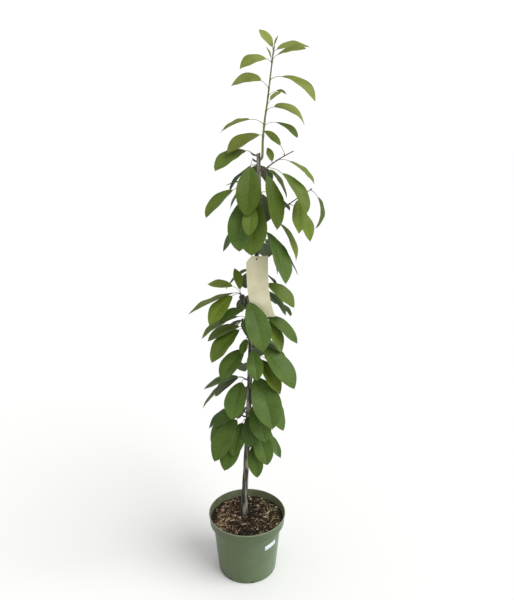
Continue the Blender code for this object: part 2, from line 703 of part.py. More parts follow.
def leaf_mesh(rings, tip, first=0):
    """Points and three-cornered faces of a leaf, from the given ring to the tip."""
    used = rings[first:]
    points = [point for ring in used for point in ring] + [tip]
    faces = []
    for i in range(len(used) - 1):
        for side in range(4):
            a, b = i * 4 + side, i * 4 + (side + 1) % 4
            faces += [(a, b, b + 4), (a, b + 4, a + 4)]
    last = (len(used) - 1) * 4
    faces += [(last + side, last + (side + 1) % 4, len(points) - 1) for side in range(4)]
    faces += [(0, 2, 1), (0, 3, 2)]
    return points, faces


class Space:
    """What is in place already, which a new leaf keeps clear of: limbs, stems and other leaves."""

    def __init__(self):
        self.things = []

    def add(self, owner, points, faces):
        middle = sum((Vector(point) for point in points), Vector()) / len(points)
        span = max((Vector(point) - middle).length for point in points)
        self.things.append((owner, tree_of(points, faces), middle, span))

    def free(self, owner, rings, tip):
        """True when the leaf is clear of all else. Its stalk may touch its own stem and its own mass."""
        whole = tree_of(*leaf_mesh(rings, tip, 1))
        blade = tree_of(*leaf_mesh(rings, tip, STALK_STEPS))
        middle = (rings[STALK_STEPS][1] + tip) / 2
        span = max((rings[0][1] - middle).length, (tip - middle).length) + WIDEST_HALF_LEAF
        for other, tree, centre, reach in self.things:
            if (centre - middle).length > reach + span:
                continue
            mine = blade if other == owner else whole
            if mine.overlap(tree):
                return False
        return True


def leaf_finish(root, leaf):
    """Young leaves up the leader are light, and leaves at the back are dark."""
    if root.z > LIGHT_LEAVES_FROM:
        return LEAF_LIGHT
    return LEAF_DARK if math.sin(math.radians(leaf.bearing)) > BACK_LEAF_SINE else LEAF_MID


def make_leaf(space, owner, number, root, leaf):
    """The leaf as an object, turned a little where its space is taken, or None where no turn clears it."""
    seed = f"{SEED} {owner} {number}"
    for turn, tilt in TURNS:
        tried = leaf._replace(bearing=leaf.bearing + turn, lift=leaf.lift + tilt)
        if not space.free(owner, *leaf_rings(root, tried, random.Random(seed), CLEARANCE)):
            continue
        rings, tip = leaf_rings(root, tried, random.Random(seed))
        space.add(owner, *leaf_mesh(rings, tip, STALK_STEPS))
        points, faces = leaf_mesh(rings, tip)
        return new_object(f"{owner}_{number}", points, faces, leaf_finish(root, leaf))
    return None


# Masses of leaves
def fuse(stem, leaves):
    """Joins leaves to their stem with one union, applied, and keeps only the main shell."""
    pieces = bpy.data.collections.new("pieces")
    bpy.context.scene.collection.children.link(pieces)
    for leaf in leaves:
        bpy.context.scene.collection.objects.unlink(leaf)
        pieces.objects.link(leaf)
    join = stem.modifiers.new("join_leaves", "BOOLEAN")
    join.operation = "UNION"
    join.operand_type = "COLLECTION"
    join.collection = pieces
    join.solver = "EXACT"
    join.material_mode = "TRANSFER"
    bpy.context.view_layer.update()
    graph = bpy.context.evaluated_depsgraph_get()
    joined = bpy.data.meshes.new_from_object(stem.evaluated_get(graph))
    stem.modifiers.clear()
    stem.data = joined
    for leaf in leaves:
        bpy.data.objects.remove(leaf, do_unlink=True)
    bpy.data.collections.remove(pieces)
    keep_main_shell(joined)


def shells_of(shape):
    """The sets of faces that hang together, the largest last."""
    unseen = set(shape.faces)
    shells = []
    while unseen:
        shell, waiting = set(), [unseen.pop()]
        while waiting:
            face = waiting.pop()
            shell.add(face)
            beside = {other for edge in face.edges for other in edge.link_faces} & unseen
            unseen -= beside
            waiting += beside
        shells.append(shell)
    return sorted(shells, key=len)


def keep_main_shell(mesh):
    """Drops loose scraps and sealed hollows, and cuts every face into triangles."""
    shape = bmesh.new()
    shape.from_mesh(mesh)
    scraps = [face for shell in shells_of(shape)[:-1] for face in shell]
    if scraps:
        bmesh.ops.delete(shape, geom=scraps, context="FACES")
    bmesh.ops.triangulate(shape, faces=shape.faces)
    shape.to_mesh(mesh)
    shape.free()


def along_stem(points, share):
    """The point at this share of a row of points."""
    at = share * (len(points) - 1)
    low = min(int(at), len(points) - 2)
    return points[low].lerp(points[low + 1], at - low)


def spur_mass(bark, name, height, bearing, length, leaves):
    """A spur's stem, and its leaves with the points where they start, the last nearest the tip."""
    stem, centres = make_spur(bark, name, height, bearing, length)
    shares = [lerp(*SPUR_ROOT_SHARES, (i + 1) / len(leaves)) for i in range(len(leaves))]
    return stem, [(centres[-2].lerp(centres[-1], share), leaf) for share, leaf in zip(shares, leaves)]


# Tag
def tag_middle(height):
    """Middle of the tag at this height: it swings to the right and bows towards the front as it hangs."""
    fall = (TAG_TOP - height) / TAG_LENGTH
    bow = TAG_BOW * math.sin(math.pi * lerp(*TAG_BOW_SPAN, fall)) - TAG_TUCK * fall**4
    return Vector((TAG_X + TAG_SWING * fall**3, TAG_Y - bow, height))


def tag_sheet(face):
    """Rows of points over one face of the card, the left corner cut at the top."""
    points = []
    for row in range(TAG_ROWS + 1):
        middle = tag_middle(TAG_TOP - TAG_LENGTH * row / TAG_ROWS)
        for column in range(TAG_COLUMNS + 1):
            across = column / TAG_COLUMNS - 0.5
            cut = TAG_CORNER * TAG_CORNER_SHARES[row] if column == 0 and row < len(TAG_CORNER_SHARES) else 0.0
            cup = TAG_CUP * 4 * across * across
            points.append(middle + Vector((across * TAG_WIDTH, cup + face * TAG_THICKNESS, -cut)))
    return points


def make_tag():
    """A curved card: two sheets of points, one at each face, joined round their border."""
    points = tag_sheet(-0.5) + tag_sheet(0.5)
    wide = TAG_COLUMNS + 1
    count = (TAG_ROWS + 1) * wide
    faces = []
    for row in range(TAG_ROWS):
        for column in range(TAG_COLUMNS):
            a = row * wide + column
            quad = (a, a + 1, a + 1 + wide, a + wide)
            faces += [quad, tuple(i + count for i in reversed(quad))]
    border = list(range(wide))
    border += [row * wide + TAG_COLUMNS for row in range(1, TAG_ROWS + 1)]
    border += [TAG_ROWS * wide + column for column in range(TAG_COLUMNS - 1, -1, -1)]
    border += [row * wide for row in range(TAG_ROWS - 1, 0, -1)]
    for here, ahead in zip(border, border[1:] + border[:1]):
        faces.append((here, here + count, ahead + count, ahead))
    tag = new_object("tag", points, faces, CARD, 30)
    take_away(tag, "tie_hole", hole_cutter())
    return tag


def hole_place():
    """Middle of the tag's hole."""
    return tag_middle(TAG_TOP - HOLE_DROP) + Vector((HOLE_SHIFT, 0.0, 0.0))


def hole_cutter():
    """A short rod along Y through the tag's hole."""
    shape = bmesh.new()
    corners = bmesh.ops.create_cone(
        shape, cap_ends=True, segments=HOLE_SIDES, radius1=HOLE_RADIUS, radius2=HOLE_RADIUS, depth=HOLE_CUT
    )["verts"]
    for corner in corners:
        x, y, z = corner.co
        corner.co = Vector((x, -z, y)) + hole_place()
    return cutter("hole_cutter", shape)


# Tie
def tie_path():
    """Points of a loop through the tag's hole, over its top edge, and round the trunk."""
    hole = hole_place()
    trunk_middle = on_line(TRUNK_LINE, hole.z)
    clear = TIE_RADIUS + GAP
    low_pass = hole.z + HOLE_RADIUS - clear - GAP
    high_pass = TAG_TOP + clear
    front = hole.y - TIE_FRONT
    back = trunk_middle.y + trunk_radius(hole.z) + clear
    middle_y, half_y = (front + back) / 2, (back - front) / 2
    at_hole = math.sqrt(1 - ((hole.y - middle_y) / half_y) ** 2)
    rise = (high_pass - low_pass) / (2 * at_hole)
    middle_x = hole.x + TIE_HALF_WIDTH * TIE_PINCH * at_hole
    widest_from = trunk_middle.y - TIE_FRONT
    centres = []
    for step in range(TIE_STEPS):
        turn = 2 * math.pi * step / TIE_STEPS
        y = middle_y + half_y * math.sin(turn)
        share = min(1.0, (y - front) / (widest_from - front))
        spread = lerp(TIE_PINCH, 1.0, share * share * (3 - 2 * share))
        place = Vector((middle_x + TIE_HALF_WIDTH * spread * math.cos(turn), y, 0.0))
        place.z = (low_pass + high_pass) / 2 + rise * math.cos(turn)
        out = place - on_line(TRUNK_LINE, place.z)
        short = trunk_radius(place.z) + clear + HAIR - out.length
        centres.append(place + out.normalized() * max(0.0, short))
    return centres


def make_tie():
    centres = tie_path()
    points = []
    for i, centre in enumerate(centres):
        along = (centres[(i + 1) % TIE_STEPS] - centres[i - 1]).normalized()
        across = along.cross(Vector((0, 0, 1))).normalized()
        points += circle_points(centre, across, along.cross(across), TIE_RADIUS, TIE_SIDES)
    return new_object("tag_tie", points, wall_faces(TIE_STEPS, TIE_SIDES, closed=True), TIE_BROWN)


# Tree
def build():
    """The pot and the bare wood first, then the leaves mass by mass, each kept clear of all before it."""
    space = Space()
    trunk = make_trunk()
    bark = tree_of(*mesh_of(trunk))
    leader, leader_stem = make_leader(bark)
    high_shoot, high_stem, high_points = make_shoot(bark, "high_shoot", *HIGH_SHOOT)
    low_shoot, low_stem, low_points = make_shoot(bark, "low_shoot", *LOW_SHOOT)
    stub, stub_stem, stub_points = make_stub(bark)
    limbs = (trunk, leader, stub, high_shoot, low_shoot)
    for thing in limbs + (make_pot(), make_soil(), make_tag(), make_tie()):
        space.add(thing.name, *mesh_of(thing))

    masses = [(leader_stem, [(on_line(LEADER_LINE, height), leaf) for height, leaf in LEADER_LEAVES])]
    for stem, points, leaves in (
        (stub_stem, stub_points, STUB_LEAVES),
        (low_stem, low_points, LOW_SHOOT_LEAVES),
        (high_stem, high_points, HIGH_SHOOT_LEAVES),
    ):
        masses.append((stem, [(along_stem(points, share), leaf) for share, leaf in leaves]))
    masses += [spur_mass(bark, *spur) for spur in SPURS + back_spurs()]
    for stem, _ in masses:
        space.add(stem.name, *mesh_of(stem))

    total = 0
    for stem, rooted in masses:
        made = [make_leaf(space, stem.name, i, root, leaf) for i, (root, leaf) in enumerate(rooted)]
        fuse(stem, [leaf for leaf in made if leaf is not None])
        for i, leaf in enumerate(made):
            if leaf is None:
                print(f"{stem.name}: no room for leaf {i}")
            else:
                total += 1
    print(f"{total} leaves in {len(masses)} masses")


build()
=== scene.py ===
# %% [markdown]
# # A young columnar cherry tree in its pot
# The tree is one slim trunk with short leafy spurs all the way up, a green leader above an old pruning cut,
# a card tag on a cord, and a green nursery pot full of bark mix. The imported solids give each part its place
# and its space. This lesson dresses them: every leaf, twig, bud and chip is made here, on the same frame,
# so that nothing has to be fitted afterwards. The first cell loads that frame and measures it.

# %% The frame
import math
import random
from collections import namedtuple

import bmesh
import bpy
from mathutils import Matrix, Vector, noise
from mathutils.bvhtree import BVHTree


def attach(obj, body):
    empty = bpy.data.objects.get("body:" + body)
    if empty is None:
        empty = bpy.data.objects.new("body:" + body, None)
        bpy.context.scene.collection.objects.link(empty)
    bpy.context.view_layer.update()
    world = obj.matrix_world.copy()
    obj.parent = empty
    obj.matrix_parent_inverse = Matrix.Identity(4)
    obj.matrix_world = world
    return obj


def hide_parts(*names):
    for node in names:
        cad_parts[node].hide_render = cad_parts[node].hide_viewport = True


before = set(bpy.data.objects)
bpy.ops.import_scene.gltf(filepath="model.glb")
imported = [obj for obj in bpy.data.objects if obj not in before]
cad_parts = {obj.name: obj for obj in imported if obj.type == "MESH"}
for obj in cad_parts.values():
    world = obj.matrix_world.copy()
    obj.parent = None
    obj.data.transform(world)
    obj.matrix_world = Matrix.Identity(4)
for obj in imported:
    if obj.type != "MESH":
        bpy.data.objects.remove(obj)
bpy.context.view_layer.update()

SEED = 31

# %% [markdown]
# ## Camera, floor and light
# The tree was seen from eye height, a step away, looking down a little. A camera is placed by working back
# from that view: here its pitch and distance make the pot's rim the right ellipse. The floor is pale and
# plain. Soft light comes from all round, which fills the shadows as a studio tent does, and from one broad
# sun high on the right, which gives the leaves and the pot a lit side. The tent looks whiter than the light
# it gives, so that the backdrop is plain white while the leaves keep their deep colours.

# %% Camera
camera = bpy.data.objects.new("camera", bpy.data.cameras.new("camera"))
camera.data.lens = 36
camera.data.sensor_width = 36
camera.location = (0.0324, -1.687, 1.445)
camera.rotation_euler = (math.radians(73.1), 0, 0)
bpy.context.scene.collection.objects.link(camera)
bpy.context.scene.camera = camera
print("camera stands at", tuple(camera.location))

# %% Floor
def mesh_from(name, shape):
    """A mesh with the contents of a bmesh, which is then freed."""
    made = bpy.data.meshes.new(name)
    shape.to_mesh(made)
    shape.free()
    return made


def new_object(name, mesh, *finishes):
    """An object with this mesh and these materials, linked to the scene."""
    for finish in finishes:
        mesh.materials.append(finish)
    made = bpy.data.objects.new(name, mesh)
    bpy.context.scene.collection.objects.link(made)
    return made


def material(name, colour, roughness):
    """A material with a Principled shader, and that shader."""
    made = bpy.data.materials.new(name)
    made.use_nodes = True
    shader = made.node_tree.nodes["Principled BSDF"]
    shader.inputs["Base Color"].default_value = (*colour, 1)
    shader.inputs["Roughness"].default_value = roughness
    made.diffuse_color = (*colour, 1)
    return made, shader


FLOOR_RADIUS, FLOOR_SIDES = 30, 96
disc = bmesh.new()
bmesh.ops.create_circle(disc, cap_ends=True, segments=FLOOR_SIDES, radius=FLOOR_RADIUS)
floor_white, _ = material("floor_white", (0.93, 0.93, 0.92), 0.9)
floor = new_object("floor", mesh_from("floor", disc), floor_white)
print("floor is", 2 * FLOOR_RADIUS, "m across")

# %% Light
TENT_LIGHT, TENT_SEEN = 0.62, 1.05
tent = bpy.data.worlds.new("studio_tent")
tent.use_nodes = True
glow = tent.node_tree.nodes["Background"]
glow.inputs["Color"].default_value = (1, 1, 1, 1)
seen = tent.node_tree.nodes.new("ShaderNodeLightPath")
choose = tent.node_tree.nodes.new("ShaderNodeMapRange")
choose.inputs["To Min"].default_value = TENT_LIGHT
choose.inputs["To Max"].default_value = TENT_SEEN
tent.node_tree.links.new(seen.outputs["Is Camera Ray"], choose.inputs["Value"])
tent.node_tree.links.new(choose.outputs["Result"], glow.inputs["Strength"])
bpy.context.scene.world = tent

SUN_FROM, SUN_STRENGTH, SUN_SPREAD = Vector((1.55, -0.8, 1.85)), 2.1, 50
sun = bpy.data.objects.new("soft_sun", bpy.data.lights.new("soft_sun", "SUN"))
sun.data.energy = SUN_STRENGTH
sun.data.angle = math.radians(SUN_SPREAD)
sun.rotation_euler = (-SUN_FROM).to_track_quat("-Z", "Y").to_euler()
bpy.context.scene.collection.objects.link(sun)
bpy.context.scene.view_settings.view_transform = "Standard"
print("tent and sun give", TENT_LIGHT, "and", SUN_STRENGTH)

# %% [markdown]
# ## Shared effects
# Real surfaces are never one colour. Three effects are used again and again, so each is a node group with
# named sockets: mottling wanders softly between two colours, grain gives small heights for a bump, and
# painted side light goes evenly from a colour of painted shade on the left to one of painted light on the
# right, where the sun falls on the pot. A group is built once, and each material sets its own sizes and
# colours on it.

# %% Helpers for shader nodes
COLOUR, NUMBER, ARROW = "NodeSocketColor", "NodeSocketFloat", "NodeSocketVector"
BLACK, WHITE = (0, 0, 0, 1), (1, 1, 1, 1)


def add_node(tree, kind, values=None, **settings):
    """A new shader node with these settings, and these values on its inputs."""
    made = tree.nodes.new(f"ShaderNode{kind}")
    for name, value in settings.items():
        setattr(made, name, value)
    for label, value in (values or {}).items():
        made.inputs[label].default_value = value
    return made


def group(name, inputs, output):
    """An empty shader node group with these input sockets and one output."""
    made = bpy.data.node_groups.new(name, "ShaderNodeTree")
    for label, kind, start in inputs:
        socket = made.interface.new_socket(label, in_out="INPUT", socket_type=kind)
        socket.default_value = start
    made.interface.new_socket(output[0], in_out="OUTPUT", socket_type=output[1])
    given, results = made.nodes.new("NodeGroupInput").outputs, made.nodes.new("NodeGroupOutput").inputs
    return made, given, results, made.links.new


def object_place(tree, stretch=None):
    """Object coordinates, scaled by a socket where one is given."""
    place = add_node(tree, "TexCoord").outputs["Object"]
    if stretch is None:
        return place
    scaled = add_node(tree, "VectorMath", operation="MULTIPLY")
    tree.links.new(place, scaled.inputs[0])
    tree.links.new(stretch, scaled.inputs[1])
    return scaled.outputs[0]


def blend_by(tree, mask, one, other, result):
    """Two colours, blended by a mask into a result socket."""
    blend = add_node(tree, "Mix", data_type="RGBA")
    for source, label in ((mask, "Factor"), (one, "A"), (other, "B")):
        tree.links.new(source, blend.inputs[label])
    tree.links.new(blend.outputs["Result"], result)


print("a group's sockets can be", COLOUR, NUMBER, "and", ARROW)

# %% Mottling, grain and painted side light
mottling, given, made, join = group(
    "mottling",
    (("Dark", COLOUR, BLACK), ("Light", COLOUR, WHITE), ("Size", NUMBER, 20.0),
     ("Stretch", ARROW, (1, 1, 1)), ("Middle", NUMBER, 0.5), ("Softness", NUMBER, 0.2)),
    ("Colour", COLOUR),
)
clouds = add_node(mottling, "TexNoise", {"Detail": 5, "Roughness": 0.6})
ease = add_node(mottling, "MapRange", interpolation_type="SMOOTHSTEP")
join(object_place(mottling, given["Stretch"]), clouds.inputs["Vector"])
join(given["Size"], clouds.inputs["Scale"])
join(clouds.outputs["Fac"], ease.inputs["Value"])
for operation, end in (("SUBTRACT", "From Min"), ("ADD", "From Max")):
    limit = add_node(mottling, "Math", operation=operation)
    join(given["Middle"], limit.inputs[0])
    join(given["Softness"], limit.inputs[1])
    join(limit.outputs[0], ease.inputs[end])
blend_by(mottling, ease.outputs["Result"], given["Dark"], given["Light"], made["Colour"])

grain, given, made, join = group(
    "grain",
    (("Size", NUMBER, 200.0), ("Stretch", ARROW, (1, 1, 1))),
    ("Height", NUMBER),
)
specks = add_node(grain, "TexNoise", {"Detail": 3})
join(object_place(grain, given["Stretch"]), specks.inputs["Vector"])
join(given["Size"], specks.inputs["Scale"])
join(specks.outputs["Fac"], made["Height"])

# Painted side light: a colour of painted shade on the left goes evenly to a colour of painted light on the
# right.
painted_side_light, given, made, join = group(
    "painted_side_light",
    (("Shaded", COLOUR, BLACK), ("Faded", COLOUR, WHITE), ("From", NUMBER, -0.1), ("To", NUMBER, 0.1)),
    ("Colour", COLOUR),
)
axes, reach = add_node(painted_side_light, "SeparateXYZ"), add_node(painted_side_light, "MapRange")
join(object_place(painted_side_light), axes.inputs["Vector"])
join(axes.outputs["X"], reach.inputs["Value"])
join(given["From"], reach.inputs["From Min"])
join(given["To"], reach.inputs["From Max"])
blend_by(painted_side_light, reach.outputs["Result"], given["Shaded"], given["Faded"], made["Colour"])
print("effects:", [shared.name for shared in (mottling, grain, painted_side_light)])

# %% Finishes made from them
def place_group(tree, shared, **values):
    """A shared group placed in a material's tree, with its own values."""
    return add_node(tree, "Group", values, node_tree=shared)


def between(one, other):
    """The colour halfway between two."""
    return tuple((a + b) / 2 for a, b in zip(one, other))


def finish(name, dark, light, roughness, size, bumps=(200, 0.1, 0.0004), stretch=(1, 1, 1), middle=0.5,
           softness=0.2, shine=0.5):
    """A mottled material with fine grain. bumps are the grain's size, strength and depth in metres."""
    made, shader = material(name, between(dark, light), roughness)
    tree = made.node_tree
    spots = place_group(tree, mottling, Dark=(*dark, 1), Light=(*light, 1), Size=size, Stretch=stretch,
                        Middle=middle, Softness=softness)
    tree.links.new(spots.outputs["Colour"], shader.inputs["Base Color"])
    grit = place_group(tree, grain, Size=bumps[0], Stretch=stretch)
    bump = add_node(tree, "Bump", {"Strength": bumps[1], "Distance": bumps[2]})
    tree.links.new(grit.outputs["Height"], bump.inputs["Height"])
    tree.links.new(bump.outputs["Normal"], shader.inputs["Normal"])
    shader.inputs["Specular IOR Level"].default_value = shine
    return made


print("every finish is a mottled colour with fine grain")

# %% [markdown]
# ## Pot
# A nursery pot is one thin moulding: a tapering body, a deep stepped collar that stacks, a rolled lip, and
# notches round the foot that let water out. A lathe shape, turned from a profile, is what the mould itself
# is. The profile follows the solid's, with rounder corners and four times the sides. The notches are cut
# with a Boolean, because they cross the rounded foot edge. Body and collar go from painted shade on the
# left to painted light on the right, the collar is darker all over as painted shade, the rolled lip's pale
# green is a painted highlight, and the inside is paler and browner.

# %% Sizes of the pot
POT_HEIGHT, COLLAR_HEIGHT, POT_FLOOR = 0.207, 0.033, 0.004
RIM_RADIUS, COLLAR_FOOT_RADIUS, BODY_TOP_RADIUS, BASE_RADIUS = 0.125, 0.1215, 0.1107, 0.095
LIP_WIDTH, LIP_HEIGHT, LIP_PROUD = 0.0034, 0.0042, 0.0014
BASE_ROUND, STEP_ROUND, WALL = 0.003, 0.0016, 0.0024
POT_SIDES = 192
step = POT_HEIGHT - COLLAR_HEIGHT
COLLAR_INSIDE = (COLLAR_FOOT_RADIUS - 0.0035, step + 0.0025)
RIM_INSIDE = (RIM_RADIUS - LIP_WIDTH, POT_HEIGHT - LIP_HEIGHT / 2)
LEDGE_INSIDE = (BODY_TOP_RADIUS - WALL, step - 0.0035)
FLOOR_INSIDE = (BASE_RADIUS - WALL, POT_FLOOR)
CORE = 0.02
print("pot is", POT_HEIGHT, "m high, its collar starts at", step)

# %% Helpers for places and pieces
def lerp(a, b, share):
    """What lies at this share of the way from a to b."""
    return a + (b - a) * share


def polar(radius, degrees, height=0.0):
    """A point at this distance and bearing from the middle."""
    turn = math.radians(degrees)
    return Vector((radius * math.cos(turn), radius * math.sin(turn), height))


def closed_piece(name, points, faces, sharp, *finishes):
    """An object from points and faces, its faces turned outwards, smooth but for edges of this angle."""
    mesh = bpy.data.meshes.new(name)
    mesh.from_pydata([tuple(point) for point in points], [], faces)
    shape = bmesh.new()
    shape.from_mesh(mesh)
    bmesh.ops.recalc_face_normals(shape, faces=shape.faces)
    shape.to_mesh(mesh)
    shape.free()
    mesh.shade_smooth()
    mesh.set_sharp_from_angle(angle=math.radians(sharp))
    return new_object(name, mesh, *finishes)


print("a quarter turn from +X is", tuple(polar(1, 90)))

# %% Helpers for faces
def wall_faces(rings, sides, closed=False):
    """Side faces between rings of points. In a closed row the last ring meets the first."""
    faces = []
    for ring in range(rings if closed else rings - 1):
        low, high = ring * sides, (ring + 1) % rings * sides
        for side in range(sides):
            ahead = (side + 1) % sides
            faces.append((low + side, low + ahead, high + ahead, high + side))
    return faces


def capped_faces(rings, sides):
    """Side faces and a flat cap on each end."""
    last = (rings - 1) * sides
    return wall_faces(rings, sides) + [tuple(reversed(range(sides))), tuple(range(last, last + sides))]


def turned(profile, sides):
    """Points and faces of a shape turned about Z from radius and height pairs, closed at both ends."""
    points = [polar(radius, 360 * side / sides, height)
              for radius, height in profile for side in range(sides)]
    return points, capped_faces(len(profile), sides)


def rounded(corner, before, after, radius, steps=5):
    """Points of a small curve that replaces one corner of a profile."""
    corner, before, after = Vector(corner), Vector(before), Vector(after)
    start = corner + (before - corner).normalized() * radius
    end = corner + (after - corner).normalized() * radius
    curve = []
    for i in range(steps + 1):
        share = i / steps
        curve.append(tuple(start.lerp(corner, share).lerp(corner.lerp(end, share), share)))
    return curve


print("two rings of 4 points make a box of", len(capped_faces(2, 4)), "faces")

# %% Profile of the pot
outside = [(CORE, 0.0), (BASE_RADIUS - 0.0002, 0.0), (BODY_TOP_RADIUS, step - STEP_ROUND / 2),
           (COLLAR_FOOT_RADIUS, step), (RIM_RADIUS - LIP_PROUD, POT_HEIGHT - LIP_HEIGHT)]
profile = [outside[0]]
for i, radius in ((1, BASE_ROUND * 1.6), (2, STEP_ROUND), (3, STEP_ROUND)):
    profile += rounded(outside[i], outside[i - 1], outside[i + 1], radius)
profile.append(outside[4])
for turn in range(-45, 181, 15):
    across = LIP_WIDTH / 2 * (math.cos(math.radians(turn)) - 1)
    rise = LIP_HEIGHT / 2 * (math.sin(math.radians(turn)) - 1)
    profile.append((RIM_RADIUS + across, POT_HEIGHT + rise))
profile += [COLLAR_INSIDE, LEDGE_INSIDE, FLOOR_INSIDE, (CORE, POT_FLOOR)]
print(len(profile), "corners in the pot's profile")

# %% Finishes of the pot
MOTTLE, SCUFFS = 0.15, (900, 0.2, 0.0003)


def side_lit_green(name, shaded, lit_colour):
    """Pot plastic that goes from painted shade on the left to painted light on the right."""
    middle = between(shaded, lit_colour)
    made = finish(name, middle, middle, 0.38, 9.0, bumps=(900, 0.12, 0.0002), softness=0.3)
    tree = made.node_tree
    spots = next(node for node in tree.nodes if node.type == "GROUP" and node.node_tree == mottling)
    for socket, share in (("Dark", 1 - MOTTLE), ("Light", 1 + MOTTLE)):
        left, right = ((*(share * c for c in colour), 1) for colour in (shaded, lit_colour))
        sides = place_group(tree, painted_side_light, Shaded=left, Faded=right, From=-BASE_RADIUS, To=BASE_RADIUS)
        tree.links.new(sides.outputs["Colour"], spots.inputs[socket])
    return made


# Body and collar go from painted shade on the left to painted light on the right, and the collar's darker
# greens are painted shade.
pot_finishes = (
    side_lit_green("pot_green", (0.066, 0.089, 0.026), (0.102, 0.161, 0.074)),
    side_lit_green("collar_shaded_green", (0.054, 0.074, 0.024), (0.082, 0.134, 0.054)),
    # The inside is paler and browner than the outside.
    finish("pale_inside_green", (0.115, 0.138, 0.070), (0.172, 0.204, 0.112), 0.6, 60.0, SCUFFS),
    # The rolled lip's pale green is a painted highlight.
    finish("lip_highlight_green", (0.165, 0.190, 0.112), (0.225, 0.258, 0.158), 0.5, 60.0, SCUFFS),
)
print("the pot has", len(pot_finishes), "finishes")

# %% The moulding
BODY, COLLAR, INSIDE, LIP = range(4)
LIP_RINGS = range(21, 33)


def part_of_pot(ring, height):
    """Which finish a face takes, by its ring of the profile and its height."""
    if ring in LIP_RINGS:
        return LIP
    if ring > LIP_RINGS[-1] and height > POT_FLOOR:
        return INSIDE
    return COLLAR if height > step - STEP_ROUND else BODY


pot = closed_piece("pot_moulding", *turned(profile, POT_SIDES), 50, *pot_finishes)
for number, face in enumerate(pot.data.polygons):
    face.material_index = part_of_pot(number // POT_SIDES, face.center.z)
print(len(pot.data.polygons), "faces in the moulding")

# %% Drain notches
NOTCH_COUNT, NOTCH_BEARING, NOTCH_SIZE = 8, -79, (0.012, 0.013, 0.015)
blocks = bmesh.new()
for notch in range(NOTCH_COUNT):
    turn = math.radians(NOTCH_BEARING) + 2 * math.pi * notch / NOTCH_COUNT
    where = Matrix.Rotation(turn, 4, "Z") @ Matrix.Translation((BASE_RADIUS, 0, 0))
    bmesh.ops.create_cube(blocks, size=1, matrix=where @ Matrix.Diagonal((*NOTCH_SIZE, 1)))
notches = new_object("notches", mesh_from("notches", blocks))


def cut_away(thing, tool):
    """Takes tool away from thing for good, and drops tool."""
    cut = thing.modifiers.new("cut", "BOOLEAN")
    cut.operation = "DIFFERENCE"
    cut.object = tool
    graph = bpy.context.evaluated_depsgraph_get()
    carved = bpy.data.meshes.new_from_object(thing.evaluated_get(graph))
    thing.modifiers.clear()
    thing.data = carved
    carved.name = thing.name
    bpy.data.objects.remove(tool, do_unlink=True)


cut_away(pot, notches)


def dress(thing, slot, *nodes):
    """Lets a finished piece ride on the tree's one body, in place of its solids; slot is not used."""
    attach(thing, "root")
    if nodes:
        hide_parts(*nodes)
    print(f"{thing.name}: {sum(len(p.vertices) - 2 for p in thing.data.polygons)} triangles")


dress(pot, "pot_plastic", "pot")

# %% [markdown]
# ## Label on the pot
# A small paper label is stuck to the wall below the collar. It is a thin sheet bent to the pot's own
# curve, a hair proud of it. It carries no print.

# %% Label on the pot
LABEL_SIZE, LABEL_TILT = (0.046, 0.0165), math.radians(6)
LABEL_BEARING, LABEL_HEIGHT, LABEL_LIFTS = -45, 0.1345, (0.0002, 0.0005)
COLUMNS, ROWS = 24, 6
label_points = []
for lift in LABEL_LIFTS:
    for row in range(ROWS + 1):
        for column in range(COLUMNS + 1):
            across, up = (column / COLUMNS - 0.5) * LABEL_SIZE[0], (row / ROWS - 0.5) * LABEL_SIZE[1]
            along = across * math.cos(LABEL_TILT) - up * math.sin(LABEL_TILT)
            height = LABEL_HEIGHT + (across * math.sin(LABEL_TILT) + up * math.cos(LABEL_TILT))
            wall = lerp(BASE_RADIUS, BODY_TOP_RADIUS, height / step) + lift
            label_points.append(polar(wall, LABEL_BEARING + math.degrees(along / wall), height))


def sheet_faces(rows, columns):
    """Faces of a thin sheet whose points are two grids, one for each side, joined round their border."""
    wide, count = columns + 1, (rows + 1) * (columns + 1)
    faces = []
    for row in range(rows):
        for column in range(columns):
            a = row * wide + column
            corners = (a, a + 1, a + 1 + wide, a + wide)
            faces += [corners, tuple(corner + count for corner in reversed(corners))]
    border = list(range(wide)) + [row * wide + columns for row in range(1, rows + 1)]
    border += [rows * wide + column for column in range(columns - 1, -1, -1)]
    border += [row * wide for row in range(rows - 1, 0, -1)]
    for here, ahead in zip(border, border[1:] + border[:1]):
        faces.append((here, here + count, ahead + count, ahead))
    return faces


label_paper = finish("label_paper", (0.58, 0.66, 0.72), (0.80, 0.85, 0.88), 0.45, 60.0,
                     bumps=(1500, 0.1, 0.0001))
dress(closed_piece("pot_label", label_points, sheet_faces(ROWS, COLUMNS), 40, label_paper), "pot_plastic")

# %% [markdown]
# ## Potting mix
# The pot is filled with shredded bark: splinters and curls of many browns, with a few fresh pale ones. The
# black splinters about the middle are painted shade: they stand for the dark gaps between chips. The body
# is a mound with a rough top, and a small dark plug of the same mix fills each notch as painted shade of
# its hollow. The splinters are separate small closed shapes strewn over the mound by a seeded rule, and
# joined into one piece for each colour.

# %% The mound
SOIL_TOP, SOIL_EDGE_DROP = 0.186, 0.003
MOUND_DROP, MOUND_REACH = 0.0012, 0.114
MOUND_SIDES, MOUND_RINGS = 120, 44
LUMPS = ((38, 0.3, 0.0026), (150, 1.7, 0.0012))
# Where the trunk stands, and how far round it the mix is even
FOOT, CALM_REACH = Vector((-0.0125, 0.0180)), 0.05


def mound_height(x, y):
    """Height of the potting mix here: shallow, lumpy, and lower towards the wall."""
    radius = math.hypot(x, y)
    fall = SOIL_EDGE_DROP * min(1.0, (radius / MOUND_REACH) ** 3)
    lumps = sum(noise.noise(Vector((x, y, layer)) * size) * height for size, layer, height in LUMPS)
    calm = min(1.0, (Vector((x, y)) - FOOT).length / CALM_REACH)
    return SOIL_TOP - MOUND_DROP - fall + lumps * calm


